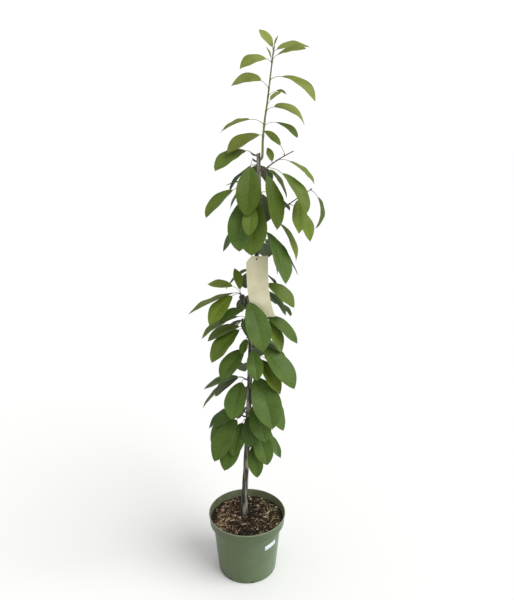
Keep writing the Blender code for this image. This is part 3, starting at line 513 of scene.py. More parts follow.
climb = (SOIL_TOP - SOIL_EDGE_DROP - COLLAR_INSIDE[1]) / (RIM_INSIDE[1] - COLLAR_INSIDE[1])
mound_radius = lerp(COLLAR_INSIDE[0], RIM_INSIDE[0], climb) - 0.0006
profile = [(CORE, POT_FLOOR + 0.001), (FLOOR_INSIDE[0] - 0.001, POT_FLOOR + 0.001),
           (LEDGE_INSIDE[0] - 0.001, LEDGE_INSIDE[1]), (COLLAR_INSIDE[0] - 0.001, COLLAR_INSIDE[1])]
mound_points = turned(profile, MOUND_SIDES)[0]
for ring in range(MOUND_RINGS):
    radius = mound_radius * (1 - ring / MOUND_RINGS)
    for side in range(MOUND_SIDES):
        place = polar(radius, 360 * side / MOUND_SIDES)
        place.z = mound_height(place.x, place.y)
        mound_points.append(place)
mound_faces = capped_faces(len(profile) + MOUND_RINGS, MOUND_SIDES)
print("the mix reaches", round(mound_radius, 4), "m from the middle")

# %% Dark plugs in the notches, which are painted shade
PLUG_REACHES, PLUG_HEIGHTS, PLUG_WIDTH = (0.0893, 0.0924), (0.0004, 0.0048), 0.0114
for notch in range(NOTCH_COUNT):
    bearing = NOTCH_BEARING + 360 * notch / NOTCH_COUNT
    aside = polar(PLUG_WIDTH / 2, bearing + 90)
    first = len(mound_points)
    for height in PLUG_HEIGHTS:
        near, far = (polar(reach, bearing, height) for reach in PLUG_REACHES)
        mound_points += [near - aside, far - aside, far + aside, near + aside]
    mound_faces += [tuple(first + i for i in face) for face in capped_faces(2, 4)]
mix_brown = finish("mix_brown", (0.010, 0.007, 0.004), (0.050, 0.033, 0.019), 0.95, 130.0,
                   bumps=(420, 0.6, 0.002), softness=0.12, shine=0.1)
dress(closed_piece("bark_mix", mound_points, mound_faces, 80, mix_brown), "potting_mix", "soil")

# %% One splinter
WALL_GAP, FOOT_GAP, END_GAP = 0.006, 0.015, 0.0015
BEND, LEAN, THICKNESSES = 0.25, 0.22, (0.3, 0.6)
SPLINTER_TAPER = ((-1.0, 0.35), (-0.4, 1.0), (0.35, 0.9), (1.0, 0.25))
SPLINTER_CORNERS = ((-1, -0.6), (1, -0.8), (0.8, 0.9), (-0.9, 0.7))
HIGHEST_SPLINTER = SOIL_TOP + 0.006


def place_on_mix(chance, zone):
    """A place on the mix, clear of pot and trunk, that is likeliest about the middle of a zone."""
    while True:
        x = zone[0] + chance.uniform(-1, 1) * zone[1] * 1.5
        y = chance.uniform(-mound_radius, mound_radius)
        kept = chance.random() < math.exp(-(((x - zone[0]) / zone[1]) ** 2))
        inside = math.hypot(x, y) < mound_radius - WALL_GAP
        if kept and inside and (Vector((x, y)) - FOOT).length > FOOT_GAP:
            return x, y


def splinter(points, faces, chance, length, width, zone):
    """Adds one bent sliver of bark that lies on the mound."""
    x, y = place_on_mix(chance, zone)
    yaw = chance.uniform(0, math.pi)
    half = min(length / 2, mound_radius - math.hypot(x, y) - END_GAP)
    bend = chance.uniform(-BEND, BEND) * half
    thick = width * chance.uniform(*THICKNESSES)
    lean = chance.uniform(-LEAN, LEAN) * half
    first = len(points)
    for share, taper in SPLINTER_TAPER:
        along = share * half
        aside = bend * (1 - share * share)
        px = x + along * math.cos(yaw) - aside * math.sin(yaw)
        py = y + along * math.sin(yaw) + aside * math.cos(yaw)
        ground = max(mound_height(px, py), mound_height(x, y) - 0.0006)
        pz = min(ground + thick * 0.55 + max(0.0, lean * share), HIGHEST_SPLINTER)
        for across, rise in SPLINTER_CORNERS:
            wide = across * width / 2 * taper * chance.uniform(0.8, 1.1)
            high = pz + rise * thick / 2 * taper
            points.append(Vector((px - wide * math.sin(yaw), py + wide * math.cos(yaw), high)))
    faces += [tuple(first + i for i in face) for face in capped_faces(4, 4)]


print("a splinter rises to", HIGHEST_SPLINTER, "m at most")

# %% The splinters
# For each kind: its count, darkest and lightest colour, lengths, widths, and its zone's middle and reach
CHIP_KINDS = (
    # The black splinters, gathered about the middle, are painted shade: they stand for the dark gaps between
    # chips.
    ("splinters_black", 460, (0.006, 0.005, 0.003), (0.020, 0.015, 0.010),
     (0.012, 0.030), (0.0026, 0.0058), (0.01, 0.06)),
    ("splinters_umber", 360, (0.022, 0.015, 0.009), (0.070, 0.048, 0.028),
     (0.010, 0.030), (0.0022, 0.0052), (0.00, 0.12)),
    ("splinters_brown", 260, (0.060, 0.042, 0.024), (0.140, 0.098, 0.056),
     (0.010, 0.028), (0.0020, 0.0044), (0.00, 0.12)),
    ("splinters_rosy", 175, (0.130, 0.080, 0.044), (0.480, 0.340, 0.220),
     (0.014, 0.038), (0.0020, 0.0044), (-0.07, 0.045)),
    ("splinters_tan", 235, (0.140, 0.113, 0.058), (0.340, 0.284, 0.158),
     (0.010, 0.030), (0.0018, 0.0040), (0.06, 0.045)),
    ("splinters_pale", 46, (0.520, 0.420, 0.280), (0.780, 0.680, 0.500),
     (0.008, 0.020), (0.0026, 0.0050), (0.00, 0.12)),
)
chance = random.Random(SEED)
for kind, count, dark, light, lengths, widths, zone in CHIP_KINDS:
    points, faces = [], []
    for _ in range(count):
        splinter(points, faces, chance, chance.uniform(*lengths), chance.uniform(*widths), zone)
    bark_piece = finish(kind, dark, light, 0.85, 70.0, bumps=(900, 0.5, 0.0006), stretch=(1, 1, 0.3),
                        softness=0.15, shine=0.12)
    dress(closed_piece(kind, points, faces, 30, bark_piece), "potting_mix")

# %% [markdown]
# ## Trunk
# The trunk leans a little, flares at its foot, and tapers to the slanted pruning cut where the leader
# takes over. Cherry bark is grey-brown and satin, ringed by small corky slits called lenticels, and it
# swells where each spur leaves. All of these are real relief here, moved in code on a fine tube: a bump in
# the material alone would vanish at the outline.

# %% Line of the trunk
GAP = 0.0003
TRUNK_LINE = (
    (SOIL_TOP + GAP, -0.0125, 0.0180),
    (0.314, -0.0055, 0.0160),
    (0.640, 0.0092, 0.0110),
    (0.770, 0.0127, 0.0090),
    (0.930, 0.0221, 0.0066),
    (1.060, 0.0310, 0.0046),
    (1.196, 0.0385, 0.0025),
    (1.352, 0.0362, 0.0005),
)
TRUNK_FOOT, TRUNK_TOP = TRUNK_LINE[0][0], TRUNK_LINE[-1][0]


def heading(bearing, lift=0.0):
    """Unit vector with this bearing from +X towards +Y, and this lift, both in degrees."""
    turn, slope = math.radians(bearing), math.radians(lift)
    return Vector((math.cos(slope) * math.cos(turn), math.cos(slope) * math.sin(turn), math.sin(slope)))


def on_line(line, height):
    """The point at this height on a smooth curve through rows of height, x and y."""
    last = len(line) - 2
    row = next((i for i in range(last + 1) if height <= line[i + 1][0]), last)
    near, far = line[row], line[row + 1]
    before = line[max(row - 1, 0)]
    after = line[min(row + 2, len(line) - 1)]
    span = far[0] - near[0]
    share = (height - near[0]) / span
    squared, cubed = share**2, share**3
    place = []
    for axis in (1, 2):
        slope_in = (far[axis] - before[axis]) / (far[0] - before[0]) * span
        slope_out = (after[axis] - near[axis]) / (after[0] - near[0]) * span
        place.append(
            (2 * cubed - 3 * squared + 1) * near[axis]
            + (cubed - 2 * squared + share) * slope_in
            + (3 * squared - 2 * cubed) * far[axis]
            + (cubed - squared) * slope_out
        )
    return Vector((place[0], place[1], height))


print("trunk from", TRUNK_FOOT, "to", TRUNK_TOP)

# %% Thickness of the trunk
FOOT_RADIUS, TOP_RADIUS, TAPER_POWER = 0.0102, 0.0052, 0.8
FLARE, FLARE_HEIGHT = 0.0042, 0.030
BUTTRESSES, BUTTRESS_SHARE, BUTTRESS_TURN = 3, 0.16, 0.8
CUT_SLOPE = 0.35


def trunk_radius(height):
    """Radius of the trunk: a flared foot, then an even taper to the cut."""
    share = (height - TRUNK_FOOT) / (TRUNK_TOP - TRUNK_FOOT)
    flare = FLARE * math.exp(-(height - TRUNK_FOOT) / FLARE_HEIGHT)
    return lerp(FOOT_RADIUS, TOP_RADIUS, share**TAPER_POWER) + flare


def trunk_points(heights, sides, relief=None):
    """Rings of points up the trunk, with the bark's relief added where it is given."""
    points = []
    for height in heights:
        centre = on_line(TRUNK_LINE, height)
        radius = trunk_radius(height)
        buttress = BUTTRESS_SHARE * math.exp(-(height - TRUNK_FOOT) / FLARE_HEIGHT)
        slope = CUT_SLOPE if height >= TRUNK_TOP else 0.0
        for side in range(sides):
            turn = 2 * math.pi * side / sides
            reach = radius * (1 + buttress * math.cos(BUTTRESSES * turn + BUTTRESS_TURN))
            reach += relief(turn, height) if relief else 0.0
            rise = slope * radius * math.cos(turn)
            points.append(centre + Vector((reach * math.cos(turn), reach * math.sin(turn), rise)))
    return points


print("trunk radius at foot and top:", trunk_radius(TRUNK_FOOT), trunk_radius(TRUNK_TOP))

# %% Plain trunk of the solids, on which the stems are seated
PLAIN_SIDES, PLAIN_RINGS, RING_DRIFT = 14, 30, 1.15
climbs = [(ring / (PLAIN_RINGS - 1)) ** RING_DRIFT for ring in range(PLAIN_RINGS)]
plain_heights = [lerp(TRUNK_FOOT, TRUNK_TOP, climb) for climb in climbs]
plain_heights[-1] = TRUNK_TOP


def tree_of(points, faces):
    """A search tree of faces, which finds where a ray hits and what overlaps what."""
    return BVHTree.FromPolygons([tuple(point) for point in points], faces, epsilon=0.0)


plain_trunk = tree_of(trunk_points(plain_heights, PLAIN_SIDES), capped_faces(PLAIN_RINGS, PLAIN_SIDES))
print("plain trunk of", PLAIN_RINGS, "rings")

# %% [markdown]
# ## Where leaves and spurs stand
# Each spur is a short stem at its own height and side of the trunk, with one to four leaves. The rows below
# are the ones that the solids follow: a leaf has a bearing, the lift of its blade, its length, and where
# they differ from the rule, the length of its stalk, the roll of its blade and how far it arches. Spurs up
# the back follow a seeded rule. Writing the rule again here, with the same seeds, grows each drawn leaf in
# the very space that its solid keeps free.

# %% Spurs at the front and sides
Leaf = namedtuple("Leaf", "bearing lift length stalk face arch", defaults=(None, None, None))
SPURS = (
    ("spur_foot", 0.460, -48, 0.014, (Leaf(-74, -54, 0.102),)),
    ("spur_low_left", 0.515, -118, 0.014, (Leaf(-126, -52, 0.134),)),
    ("spur_low_right", 0.510, -38, 0.014, (Leaf(-54, -56, 0.112), Leaf(-28, -50, 0.108, None, 0))),
    ("spur_dark_left", 0.538, -122, 0.014, (Leaf(-112, -60, 0.110, 0.018),)),
    ("spur_fan_left", 0.548, -150, 0.014,
     (Leaf(-134, -48, 0.146, 0.028), Leaf(-162, -42, 0.120), Leaf(-176, -26, 0.086))),
    ("spur_small_front", 0.560, -96, 0.012, (Leaf(-88, -56, 0.095),)),
    ("spur_low_front", 0.596, -70, 0.014, (Leaf(-62, -52, 0.120, 0.014),)),
    ("spur_side_right", 0.630, -30, 0.014, (Leaf(-38, -49, 0.132), Leaf(-4, -50, 0.114))),
    ("spur_broad_left", 0.676, -146, 0.014,
     (Leaf(-114, -50, 0.122), Leaf(-170, -20, 0.116, None, -4), Leaf(168, -42, 0.104),
      Leaf(-160, -37, 0.140, None, -20))),
    ("spur_broad_right", 0.690, -66, 0.014, (Leaf(-58, -49, 0.168, 0.018),)),
    ("spur_mid_right", 0.744, -30, 0.014, (Leaf(-43, -48, 0.126, 0.014), Leaf(-8, -36, 0.106, 0.026))),
    ("spur_mid_front", 0.780, -92, 0.014, (Leaf(-74, -50, 0.096), Leaf(-144, -44, 0.116, 0.024))),
    ("spur_long_right", 0.784, -35, 0.014, (Leaf(-33, -46, 0.158, 0.026),)),
    ("spur_button_left", 0.812, -128, 0.012, (Leaf(-112, -50, 0.052, 0.010),)),
    ("spur_mid_left", 0.838, -155, 0.014, (Leaf(-150, -42, 0.130), Leaf(-174, -31, 0.108))),
    ("spur_upper_right", 0.876, -12, 0.014, (Leaf(-10, -38, 0.132), Leaf(-26, -62, 0.112, 0.028))),
    ("spur_thin_left", 0.870, -165, 0.014, (Leaf(-163, -27, 0.132, None, -6),)),
    ("spur_small_left", 0.898, -120, 0.012, (Leaf(-100, -62, 0.060, 0.012), Leaf(-170, -32, 0.082, 0.020))),
    ("spur_behind_tag", 0.954, -4, 0.012, (Leaf(2, -50, 0.100, 0.014),)),
    ("spur_over_tag", 0.975, -10, 0.014, (Leaf(-16, -40, 0.108),)),
    ("spur_hanging", 1.140, -52, 0.012, (Leaf(-44, -60, 0.160, 0.022, -14),)),
    ("spur_dark_right", 1.106, -5, 0.014, (Leaf(2, -52, 0.132, 0.020, 0), Leaf(34, -70, 0.112, 0.010, 30))),
    ("spur_narrow_right", 1.172, -8, 0.014, (Leaf(-14, -66, 0.118, 0.050, 0),)),
    ("spur_high_front", 1.330, -140, 0.016, (Leaf(-102, -71, 0.138, 0.038),)),
    ("spur_high_right", 1.306, -56, 0.014,
     (Leaf(-62, -69, 0.156, 0.032, -22), Leaf(-22, -54, 0.132, 0.060), Leaf(20, -56, 0.098, 0.022, 30))),
    ("spur_young_front", 1.225, -112, 0.016, (Leaf(-104, -60, 0.088, 0.050),)),
    ("spur_heavy_left", 1.246, -150, 0.020, (Leaf(-116, -72, 0.150, 0.044), Leaf(-154, -42, 0.110, 0.060))),
    ("spur_heavy_front", 1.246, -84, 0.012, (Leaf(-112, -79, 0.158, 0.036),)),
    ("spur_curled_left", 1.262, 172, 0.014,
     (Leaf(176, -14, 0.058, 0.024, 0), Leaf(160, -56, 0.084, 0.024, 24))),
    ("spur_crown_left", 1.346, -162, 0.018, (Leaf(-152, -29, 0.112, 0.017, 23, 50),)),
)

print(len(SPURS), "spurs at the front and sides")

# %% Spurs up the back
BACK_SPURS, BACK_LEAVES = 12, 3
BACK_LOWEST, BACK_HIGHEST = 0.480, 1.312
BACK_STEM = 0.014
BACK_SIDE, BACK_SIDE_VARIES, BACK_INNER_SHARE = 42, 10, 0.35
BACK_SPREAD, BACK_SPREAD_VARIES = 46, 8
BACK_LONGEST, BACK_SHORTEST, BACK_LONGEST_AT, BACK_SHORTENING = 0.134, 0.102, 0.45, 1.6
BACK_LENGTH_VARIES = (0.86, 1.05)
BACK_LIFTS = (-56, -34)


def back_spurs():
    """Spurs spaced up the back of the trunk, left and right in turn, each with a fan of leaves."""
    chance = random.Random(SEED + 1)
    rows = []
    for spur in range(BACK_SPURS):
        share = spur / (BACK_SPURS - 1)
        side = BACK_SIDE * (1 if spur % 2 else -1) * (1 if spur % 4 < 2 else BACK_INNER_SHARE)
        bearing = 90 + side + chance.uniform(-BACK_SIDE_VARIES, BACK_SIDE_VARIES)
        longest = lerp(BACK_LONGEST, BACK_SHORTEST, abs(share - BACK_LONGEST_AT) * BACK_SHORTENING)
        leaves = []
        for i in range(BACK_LEAVES):
            fan = BACK_SPREAD * (i - (BACK_LEAVES - 1) / 2)
            fan += chance.uniform(-BACK_SPREAD_VARIES, BACK_SPREAD_VARIES)
            lift = chance.uniform(*BACK_LIFTS)
            leaves.append(Leaf(bearing + fan, lift, longest * chance.uniform(*BACK_LENGTH_VARIES)))
        height = lerp(BACK_LOWEST, BACK_HIGHEST, share)
        rows.append((f"back_spur_{spur + 1:02d}", height, bearing, BACK_STEM, tuple(leaves)))
    return tuple(rows)


all_spurs = SPURS + back_spurs()
print(len(all_spurs), "spurs in all")

# %% Leaves of the leader, the side shoots and the stub
LEADER_LEAVES = (
    (1.618, Leaf(-30, 64, 0.028, 0.006)),
    (1.584, Leaf(174, 64, 0.032, 0.010)),
    (1.612, Leaf(150, 48, 0.062, 0.010, 26)),
    (1.604, Leaf(14, 5, 0.094, 0.016, 24, 28)),
    (1.584, Leaf(-26, 6, 0.088, 0.024, 30, 24)),
    (1.582, Leaf(-150, -20, 0.086, 0.019, 34, 56)),
    (1.540, Leaf(-22, -34, 0.119, 0.034, 13, 50)),
    (1.518, Leaf(160, -9, 0.092, 0.031, 40, 66)),
    (1.463, Leaf(-50, 24, 0.056, 0.032, 6)),
    (1.500, Leaf(-6, -20, 0.030, 0.026, 30, 60)),
    (1.462, Leaf(20, -28, 0.108, 0.026, 30, 66)),
    (1.426, Leaf(168, -23, 0.096, 0.044, 18)),
    (1.423, Leaf(-32, -30, 0.082, 0.038, 4, 40)),
    (1.397, Leaf(-154, -27, 0.112, 0.012, 21, 44)),
)
HIGH_SHOOT_LEAVES = (
    (0.20, Leaf(-14, -40, 0.096, 0.040, 2)),
    (0.05, Leaf(126, 62, 0.042, 0.006)),
    (0.64, Leaf(165, 40, 0.062, 0.030, 28)),
)
LOW_SHOOT_LEAVES = (
    (0.24, Leaf(-32, -66, 0.096, 0.036)),
    (0.60, Leaf(-94, -64, 0.100, 0.016)),
    (0.97, Leaf(0, -93, 0.094, 0.030, 17, 60)),
)
STUB_LEAVES = (
    (0.42, Leaf(-54, -62, 0.155, 0.042)),
    (0.56, Leaf(-165, -21, 0.146, 0.024, -12, 10)),
    (0.69, Leaf(-154, -43, 0.112, 0.028, 24)),
    (0.82, Leaf(172, 2, 0.076, 0.034, 26)),
    (0.76, Leaf(128, 64, 0.066, 0.014, 0)),
)
limb_leaves = LEADER_LEAVES + HIGH_SHOOT_LEAVES + LOW_SHOOT_LEAVES + STUB_LEAVES
print(len(limb_leaves), "leaves on the limbs")

# %% [markdown]
# ## Bark relief
# Three things are added to the plain radius. Around each spur a collar of wood swells. Lenticels are short
# raised dashes that lie across the trunk. And the whole skin is uneven, with long shallow streaks. Noise
# that is sampled in space, with the height squeezed or stretched, gives the last two.

# %% Bark relief
COLLAR_SWELL, COLLAR_SPREAD, COLLAR_ZONE = 0.0011, 0.0052, 0.016
LIMB_COLLARS = ((1.335, 5), (1.300, -4), (1.150, -4), (0.894, -168))
LENTICELS = (140, 620)
LENTICEL_FROM, LENTICEL_HEIGHT = 0.34, 0.0016
FINE_SKIN, FINE_DEPTH = (260, 46), 0.00028
BROAD_SKIN, BROAD_DEPTH = (90, 24, 5), 0.00045
SMOOTH_BELOW_CUT = 0.004
collars = [(height, math.radians(bearing)) for _, height, bearing, _, _ in all_spurs]
collars += [(height, math.radians(bearing)) for height, bearing in LIMB_COLLARS]


def patches(around, height, fineness, squeeze, shift=0.0):
    """Noise on the bark, of this fineness round the trunk and this squeeze up it."""
    return noise.noise(Vector((around.x * fineness, around.y * fineness, height * squeeze + shift)))


def bark_relief(turn, height):
    """How far the bark stands out at this turn and height."""
    radius = trunk_radius(height)
    around = Vector((math.cos(turn), math.sin(turn), 0.0)) * radius
    swell = 0.0
    for spur_height, bearing in collars:
        rise = height - spur_height
        if abs(rise) < COLLAR_ZONE:
            aside = (turn - bearing + math.pi) % (2 * math.pi) - math.pi
            away = (rise * rise + (aside * radius) ** 2) / COLLAR_SPREAD**2
            swell = max(swell, math.exp(-away))
    dash = max(0.0, patches(around, height, *LENTICELS) - LENTICEL_FROM) * LENTICEL_HEIGHT
    skin = patches(around, height, *FINE_SKIN) * FINE_DEPTH
    skin += patches(around, height, *BROAD_SKIN) * BROAD_DEPTH
    fade = min(1.0, (TRUNK_TOP - height) / SMOOTH_BELOW_CUT)
    return (swell * COLLAR_SWELL + dash + skin) * max(0.0, fade)


print("the bark stands out", bark_relief(0.0, SPURS[0][1]), "m beside the first spur")

# %% Trunk mesh
TRUNK_SIDES, TRUNK_RINGS = 72, 820
heights = [lerp(TRUNK_FOOT, TRUNK_TOP, ring / (TRUNK_RINGS - 1)) for ring in range(TRUNK_RINGS)]
heights[-1] = TRUNK_TOP
bark_points = trunk_points(heights, TRUNK_SIDES, bark_relief)
bark_faces = capped_faces(TRUNK_RINGS, TRUNK_SIDES)
bark = finish("cherry_bark", (0.042, 0.038, 0.028), (0.325, 0.302, 0.240), 0.7, 95.0,
              bumps=(500, 0.5, 0.0006), stretch=(1, 1, 0.16), middle=0.54, softness=0.10, shine=0.3)
cut_wood = finish("healed_cut", (0.150, 0.110, 0.070), (0.260, 0.200, 0.130), 0.8, 300.0)
trunk = closed_piece("trunk_bark", bark_points, bark_faces, 60, bark, cut_wood)
trunk.data.polygons[len(bark_faces) - 1].material_index = 1
dress(trunk, "bark", "trunk")

# %% [markdown]
# ## Stems
# A stem is a tube along a path, with its own thickness at each point. The short spurs are ringed by the
# scars that old buds leave, one ring for each few days of growth. The paths start on the bark where the
# solids' stems do, and are sunk a little into the collar so that wood meets wood.

# %% Seats on the bark
SEAT_REACH, SEAT_RAYS, SEAT_ROUNDS = 0.05, 8, 4
SPUR_RADII = (0.0027, 0.0025, 0.0026, 0.0017)
SPUR_BENDS = ((0.35, 12), (0.35, 28), (0.30, 45))
SPUR_ROOT_SHARES = (0.45, 0.95)


def circle_points(centre, across, beside, radius, sides):
    """A ring of points about a centre, in the plane of two directions."""
    turns = [2 * math.pi * side / sides for side in range(sides)]
    return [centre + (across * math.cos(turn) + beside * math.sin(turn)) * radius for turn in turns]


def seat(height, outward, radius):
    """Where a stem of this radius starts so that its flat end lies GAP clear of the plain bark."""
    beyond = outward * SEAT_REACH
    across = outward.cross(Vector((0, 0, 1))).normalized()
    start = plain_trunk.ray_cast(on_line(TRUNK_LINE, height) + beyond, -outward)[0].copy()
    for _ in range(SEAT_ROUNDS):
        end = circle_points(start, across, outward.cross(across), radius, SEAT_RAYS) + [start]
        touches = [(place, plain_trunk.ray_cast(place + beyond, -outward)[0]) for place in end]
        nearest = min((place - touch).dot(outward) for place, touch in touches if touch is not None)
        start += outward * (GAP - nearest)
    return start


def spur_path(height, bearing, length):
    """The four points of a spur's stem, which bends upwards from the bark."""
    centres = [seat(height, heading(bearing), SPUR_RADII[0])]
    for share, lift in SPUR_BENDS:
        centres.append(centres[-1] + heading(bearing, lift) * (length * share))
    return centres


paths = {name: spur_path(height, bearing, length) for name, height, bearing, length, _ in all_spurs}
print(len(paths), "stems start on the bark")

# %% Tubes and paths
def tube(centres, radii, sides, first_direction=None):
    """Points and faces of a tube with flat ends, its rings square to the path and without twist."""
    points = []
    across = None
    for i, centre in enumerate(centres):
        before, after = centres[max(i - 1, 0)], centres[min(i + 1, len(centres) - 1)]
        along = (after - before).normalized()
        if i == 0 and first_direction is not None:
            along = first_direction.normalized()
        if across is None:
            across = along.orthogonal().normalized()
        across = (across - along * across.dot(along)).normalized()
        points += circle_points(centre, across, along.cross(across), radii[i], sides)
    return points, capped_faces(len(centres), sides)


def bent_path(start, end, rise, steps):
    """Points from start to end that bow upwards by this much in the middle."""
    return [
        start.lerp(end, i / steps) + Vector((0, 0, rise * math.sin(math.pi * i / steps)))
        for i in range(steps + 1)
    ]


def smooth_path(centres, radii, steps):
    """A finer path and its radii, on a smooth curve through the given ones."""
    fine, thick = [], []
    last = len(centres) - 1
    for i in range(last):
        a, b, c, d = (centres[min(max(i + k, 0), last)] for k in (-1, 0, 1, 2))
        for j in range(steps):
            t = j / steps
            fine.append(0.5 * (2 * b + (c - a) * t + (2 * a - 5 * b + 4 * c - d) * t**2
                               + (3 * b - a - 3 * c + d) * t**3))
            thick.append(lerp(radii[i], radii[i + 1], t))
    return fine + [centres[-1]], thick + [radii[-1]]


print("a spur's stem drawn finely has", len(smooth_path(paths["spur_foot"], SPUR_RADII, 9)[0]), "rings")

# %% Piles of small shapes
class Pile:
    """Points and faces of many small shapes that become one piece."""

    def __init__(self):
        self.points, self.faces, self.kinds = [], [], []

    def add(self, points, faces, kind=0):
        """Adds a shape. kind is one number of a finish, or one for each face."""
        first = len(self.points)
        self.points += points
        self.faces += [tuple(first + i for i in face) for face in faces]
        self.kinds += [kind] * len(faces) if isinstance(kind, int) else kind

    def piece(self, name, sharp, *finishes):
        """All of the pile as one piece, each face with the finish of its kind."""
        made = closed_piece(name, self.points, self.faces, sharp, *finishes)
        made.data.polygons.foreach_set("material_index", self.kinds)
        return made


spur_wood, buds = Pile(), Pile()
print("piles are ready for the spurs' wood and the buds")

# %% Spur wood and buds
SINK, BUD_SINK, BUD_OUT = 0.0016, 0.0006, 0.0018
SCAR_HEIGHT, SCAR_PACE = 0.09, 2.3
END_BUD, SIDE_BUD, BUD_SIDES = (0.0052, 0.0030), (0.0040, 0.0026), 8
FINE_STEPS, SPUR_SIDES = 9, 12
BUD_PROFILE = ((0.0, 0.30), (0.12, 0.74), (0.28, 1.0), (0.45, 0.96),
               (0.50, 0.84), (0.68, 0.66), (0.73, 0.52), (0.9, 0.24))


def add_bud(pile, foot, direction, length, width):
    """A pointed bud with a ridge where its scales overlap."""
    centres = [foot + direction * (length * share) for share, _ in BUD_PROFILE]
    radii = [width / 2 * share for _, share in BUD_PROFILE]
    pile.add(*tube(centres + [foot + direction * length], radii + [width * 0.04], BUD_SIDES))


chance = random.Random(SEED + 2)
for name, _, bearing, _, _ in all_spurs:
    centres, outward = paths[name], heading(bearing)
    fine, thick = smooth_path([centres[0] - outward * SINK] + centres[1:], SPUR_RADII, FINE_STEPS)
    ringed = [radius * (1 + SCAR_HEIGHT * math.sin(i * SCAR_PACE)) for i, radius in enumerate(thick)]
    spur_wood.add(*tube(fine, ringed, SPUR_SIDES, outward))
    tip = (centres[-1] - centres[-2]).normalized()
    add_bud(buds, centres[-1] - tip * BUD_SINK, tip, *END_BUD)
    side = tip.cross(Vector((0, 0, 1))).normalized()
    for turn in (-1, 1):
        aside = (side * turn + tip * chance.uniform(0.3, 0.9)).normalized()
        add_bud(buds, centres[2] + aside * BUD_OUT, aside, *SIDE_BUD)
dress(spur_wood.piece("spur_stems", 60, bark), "bark")

# %% [markdown]
# ## Leader, side shoots and the old stub
# The leader is this season's wood, green and smooth, with a slight swelling and a bud at each leaf. The two
# side shoots are thin and brown. The stub is the thick end of a branch that was cut off long ago.

# %% Line and thickness of the leader
LEADER_LINE = (
    (1.341, 0.0467, 0.0010),
    (1.352, 0.0475, 0.0009),
    (1.387, 0.0483, 0.0008),
    (1.444, 0.0539, 0.0004),
    (1.478, 0.0591, 0.0002),
    (1.548, 0.0675, 0.0),
    (1.590, 0.0725, 0.0),
    (1.621, 0.0767, 0.0),
)
LEADER_SEAT, LEADER_BEARING, LEADER_SPLIT = 1.335, 5, 1.394
LEADER_RADIUS, LEADER_TIP_RADIUS, LEADER_RINGS = 0.0034, 0.0016, 170
NODE_SWELL, NODE_SPREAD = 0.0005, 0.0035
leader_foot, leader_top = LEADER_LINE[0][0], LEADER_LINE[-1][0]
seat_point = seat(LEADER_SEAT, heading(LEADER_BEARING), LEADER_RADIUS)


def plain_leader(height):
    """Radius of the leader without its nodes."""
    return lerp(LEADER_RADIUS, LEADER_TIP_RADIUS, (height - leader_foot) / (leader_top - leader_foot))


def leader_radius(height):
    """Radius of the leader, with a node under each leaf."""
    aways = [(height - leaf_height) / NODE_SPREAD for leaf_height, _ in LEADER_LEAVES]
    nodes = max(math.exp(-(away**2)) for away in aways)
    skin = noise.noise(Vector((3.1, 0.2, height * 240))) * 0.00008
    return plain_leader(height) + nodes * NODE_SWELL + skin


print("leader from", leader_foot, "to", leader_top)

# %% Leader
LEADER_BUD, LEADER_TUBE_SIDES = (0.006, 0.0034), 20
leader_heights = [lerp(leader_foot, leader_top, i / LEADER_RINGS) for i in range(LEADER_RINGS + 1)]
out_of_bark = [seat_point - heading(LEADER_BEARING) * SINK, seat_point, on_line(LEADER_LINE, leader_foot)]
entry = smooth_path(out_of_bark, (LEADER_RADIUS,) * 3, 5)[0][:-1]
centres = entry + [on_line(LEADER_LINE, height) for height in leader_heights]
radii = [LEADER_RADIUS] * len(entry) + [leader_radius(height) for height in leader_heights]
leader_tube = tube(centres, radii, LEADER_TUBE_SIDES, heading(LEADER_BEARING))
green_wood = finish("green_wood", (0.120, 0.150, 0.040), (0.215, 0.245, 0.075), 0.48, 90.0,
                    bumps=(700, 0.25, 0.0003), stretch=(1, 1, 0.25))
dress(closed_piece("leader_stem", *leader_tube, 60, green_wood), "shoot_bark", "leader", "leader_leaves")
tip = (centres[-1] - centres[-2]).normalized()
add_bud(buds, centres[-1] - tip * 0.001, tip, *LEADER_BUD)

# %% Side shoots
# Height, reach, rise, and the share of its length where the leaves begin
HIGH_SHOOT = (1.300, 0.086, 0.056, 0.33)
LOW_SHOOT = (1.150, 0.140, 0.104, 0.42)
SHOOT_BEARING, SHOOT_BOW, SHOOT_STEPS = -4, 0.004, 12
SHOOT_RADIUS, SHOOT_TIP_RADIUS = 0.0021, 0.0013
KNOT_HEIGHT, KNOT_PACE, KNOT_SHARPNESS = 0.16, 0.55, 8
SHOOT_BUD, STUB_BUD, WOOD_SIDES = (0.0055, 0.0036), (0.0055, 0.0040), 14
brown_wood = finish("brown_wood", (0.060, 0.042, 0.030), (0.135, 0.100, 0.070), 0.55, 120.0,
                    bumps=(700, 0.3, 0.0003), stretch=(1, 1, 0.4))


def shoot(name, height, reach, rise, split):
    """One side shoot from the trunk to its tip, and the points of its leafy part."""
    toward = heading(SHOOT_BEARING)
    start = seat(height, toward, SHOOT_RADIUS)
    path = bent_path(start, start + Vector((reach, 0.0, rise)), SHOOT_BOW, SHOOT_STEPS)
    radii = [lerp(SHOOT_RADIUS, SHOOT_TIP_RADIUS, i / SHOOT_STEPS) for i in range(SHOOT_STEPS + 1)]
    fine, thick = smooth_path([start - toward * SINK] + path[1:], radii, 8)
    swells = [max(0.0, math.sin(i * KNOT_PACE)) ** KNOT_SHARPNESS for i in range(len(thick))]
    knots = [radius * (1 + KNOT_HEIGHT * swell) for radius, swell in zip(thick, swells)]
    stem = closed_piece(f"{name}_stem", *tube(fine, knots, WOOD_SIDES, toward), 60, brown_wood)
    dress(stem, "bark", name, f"{name}_leaves")
    tip = (path[-1] - path[-2]).normalized()
    add_bud(buds, path[-1] - tip * BUD_SINK, tip, *SHOOT_BUD)
    at = round(split * SHOOT_STEPS)
    direction = (path[at + 1] - path[at - 1]).normalized()
    return [path[at] + direction * GAP] + path[at + 1 :]


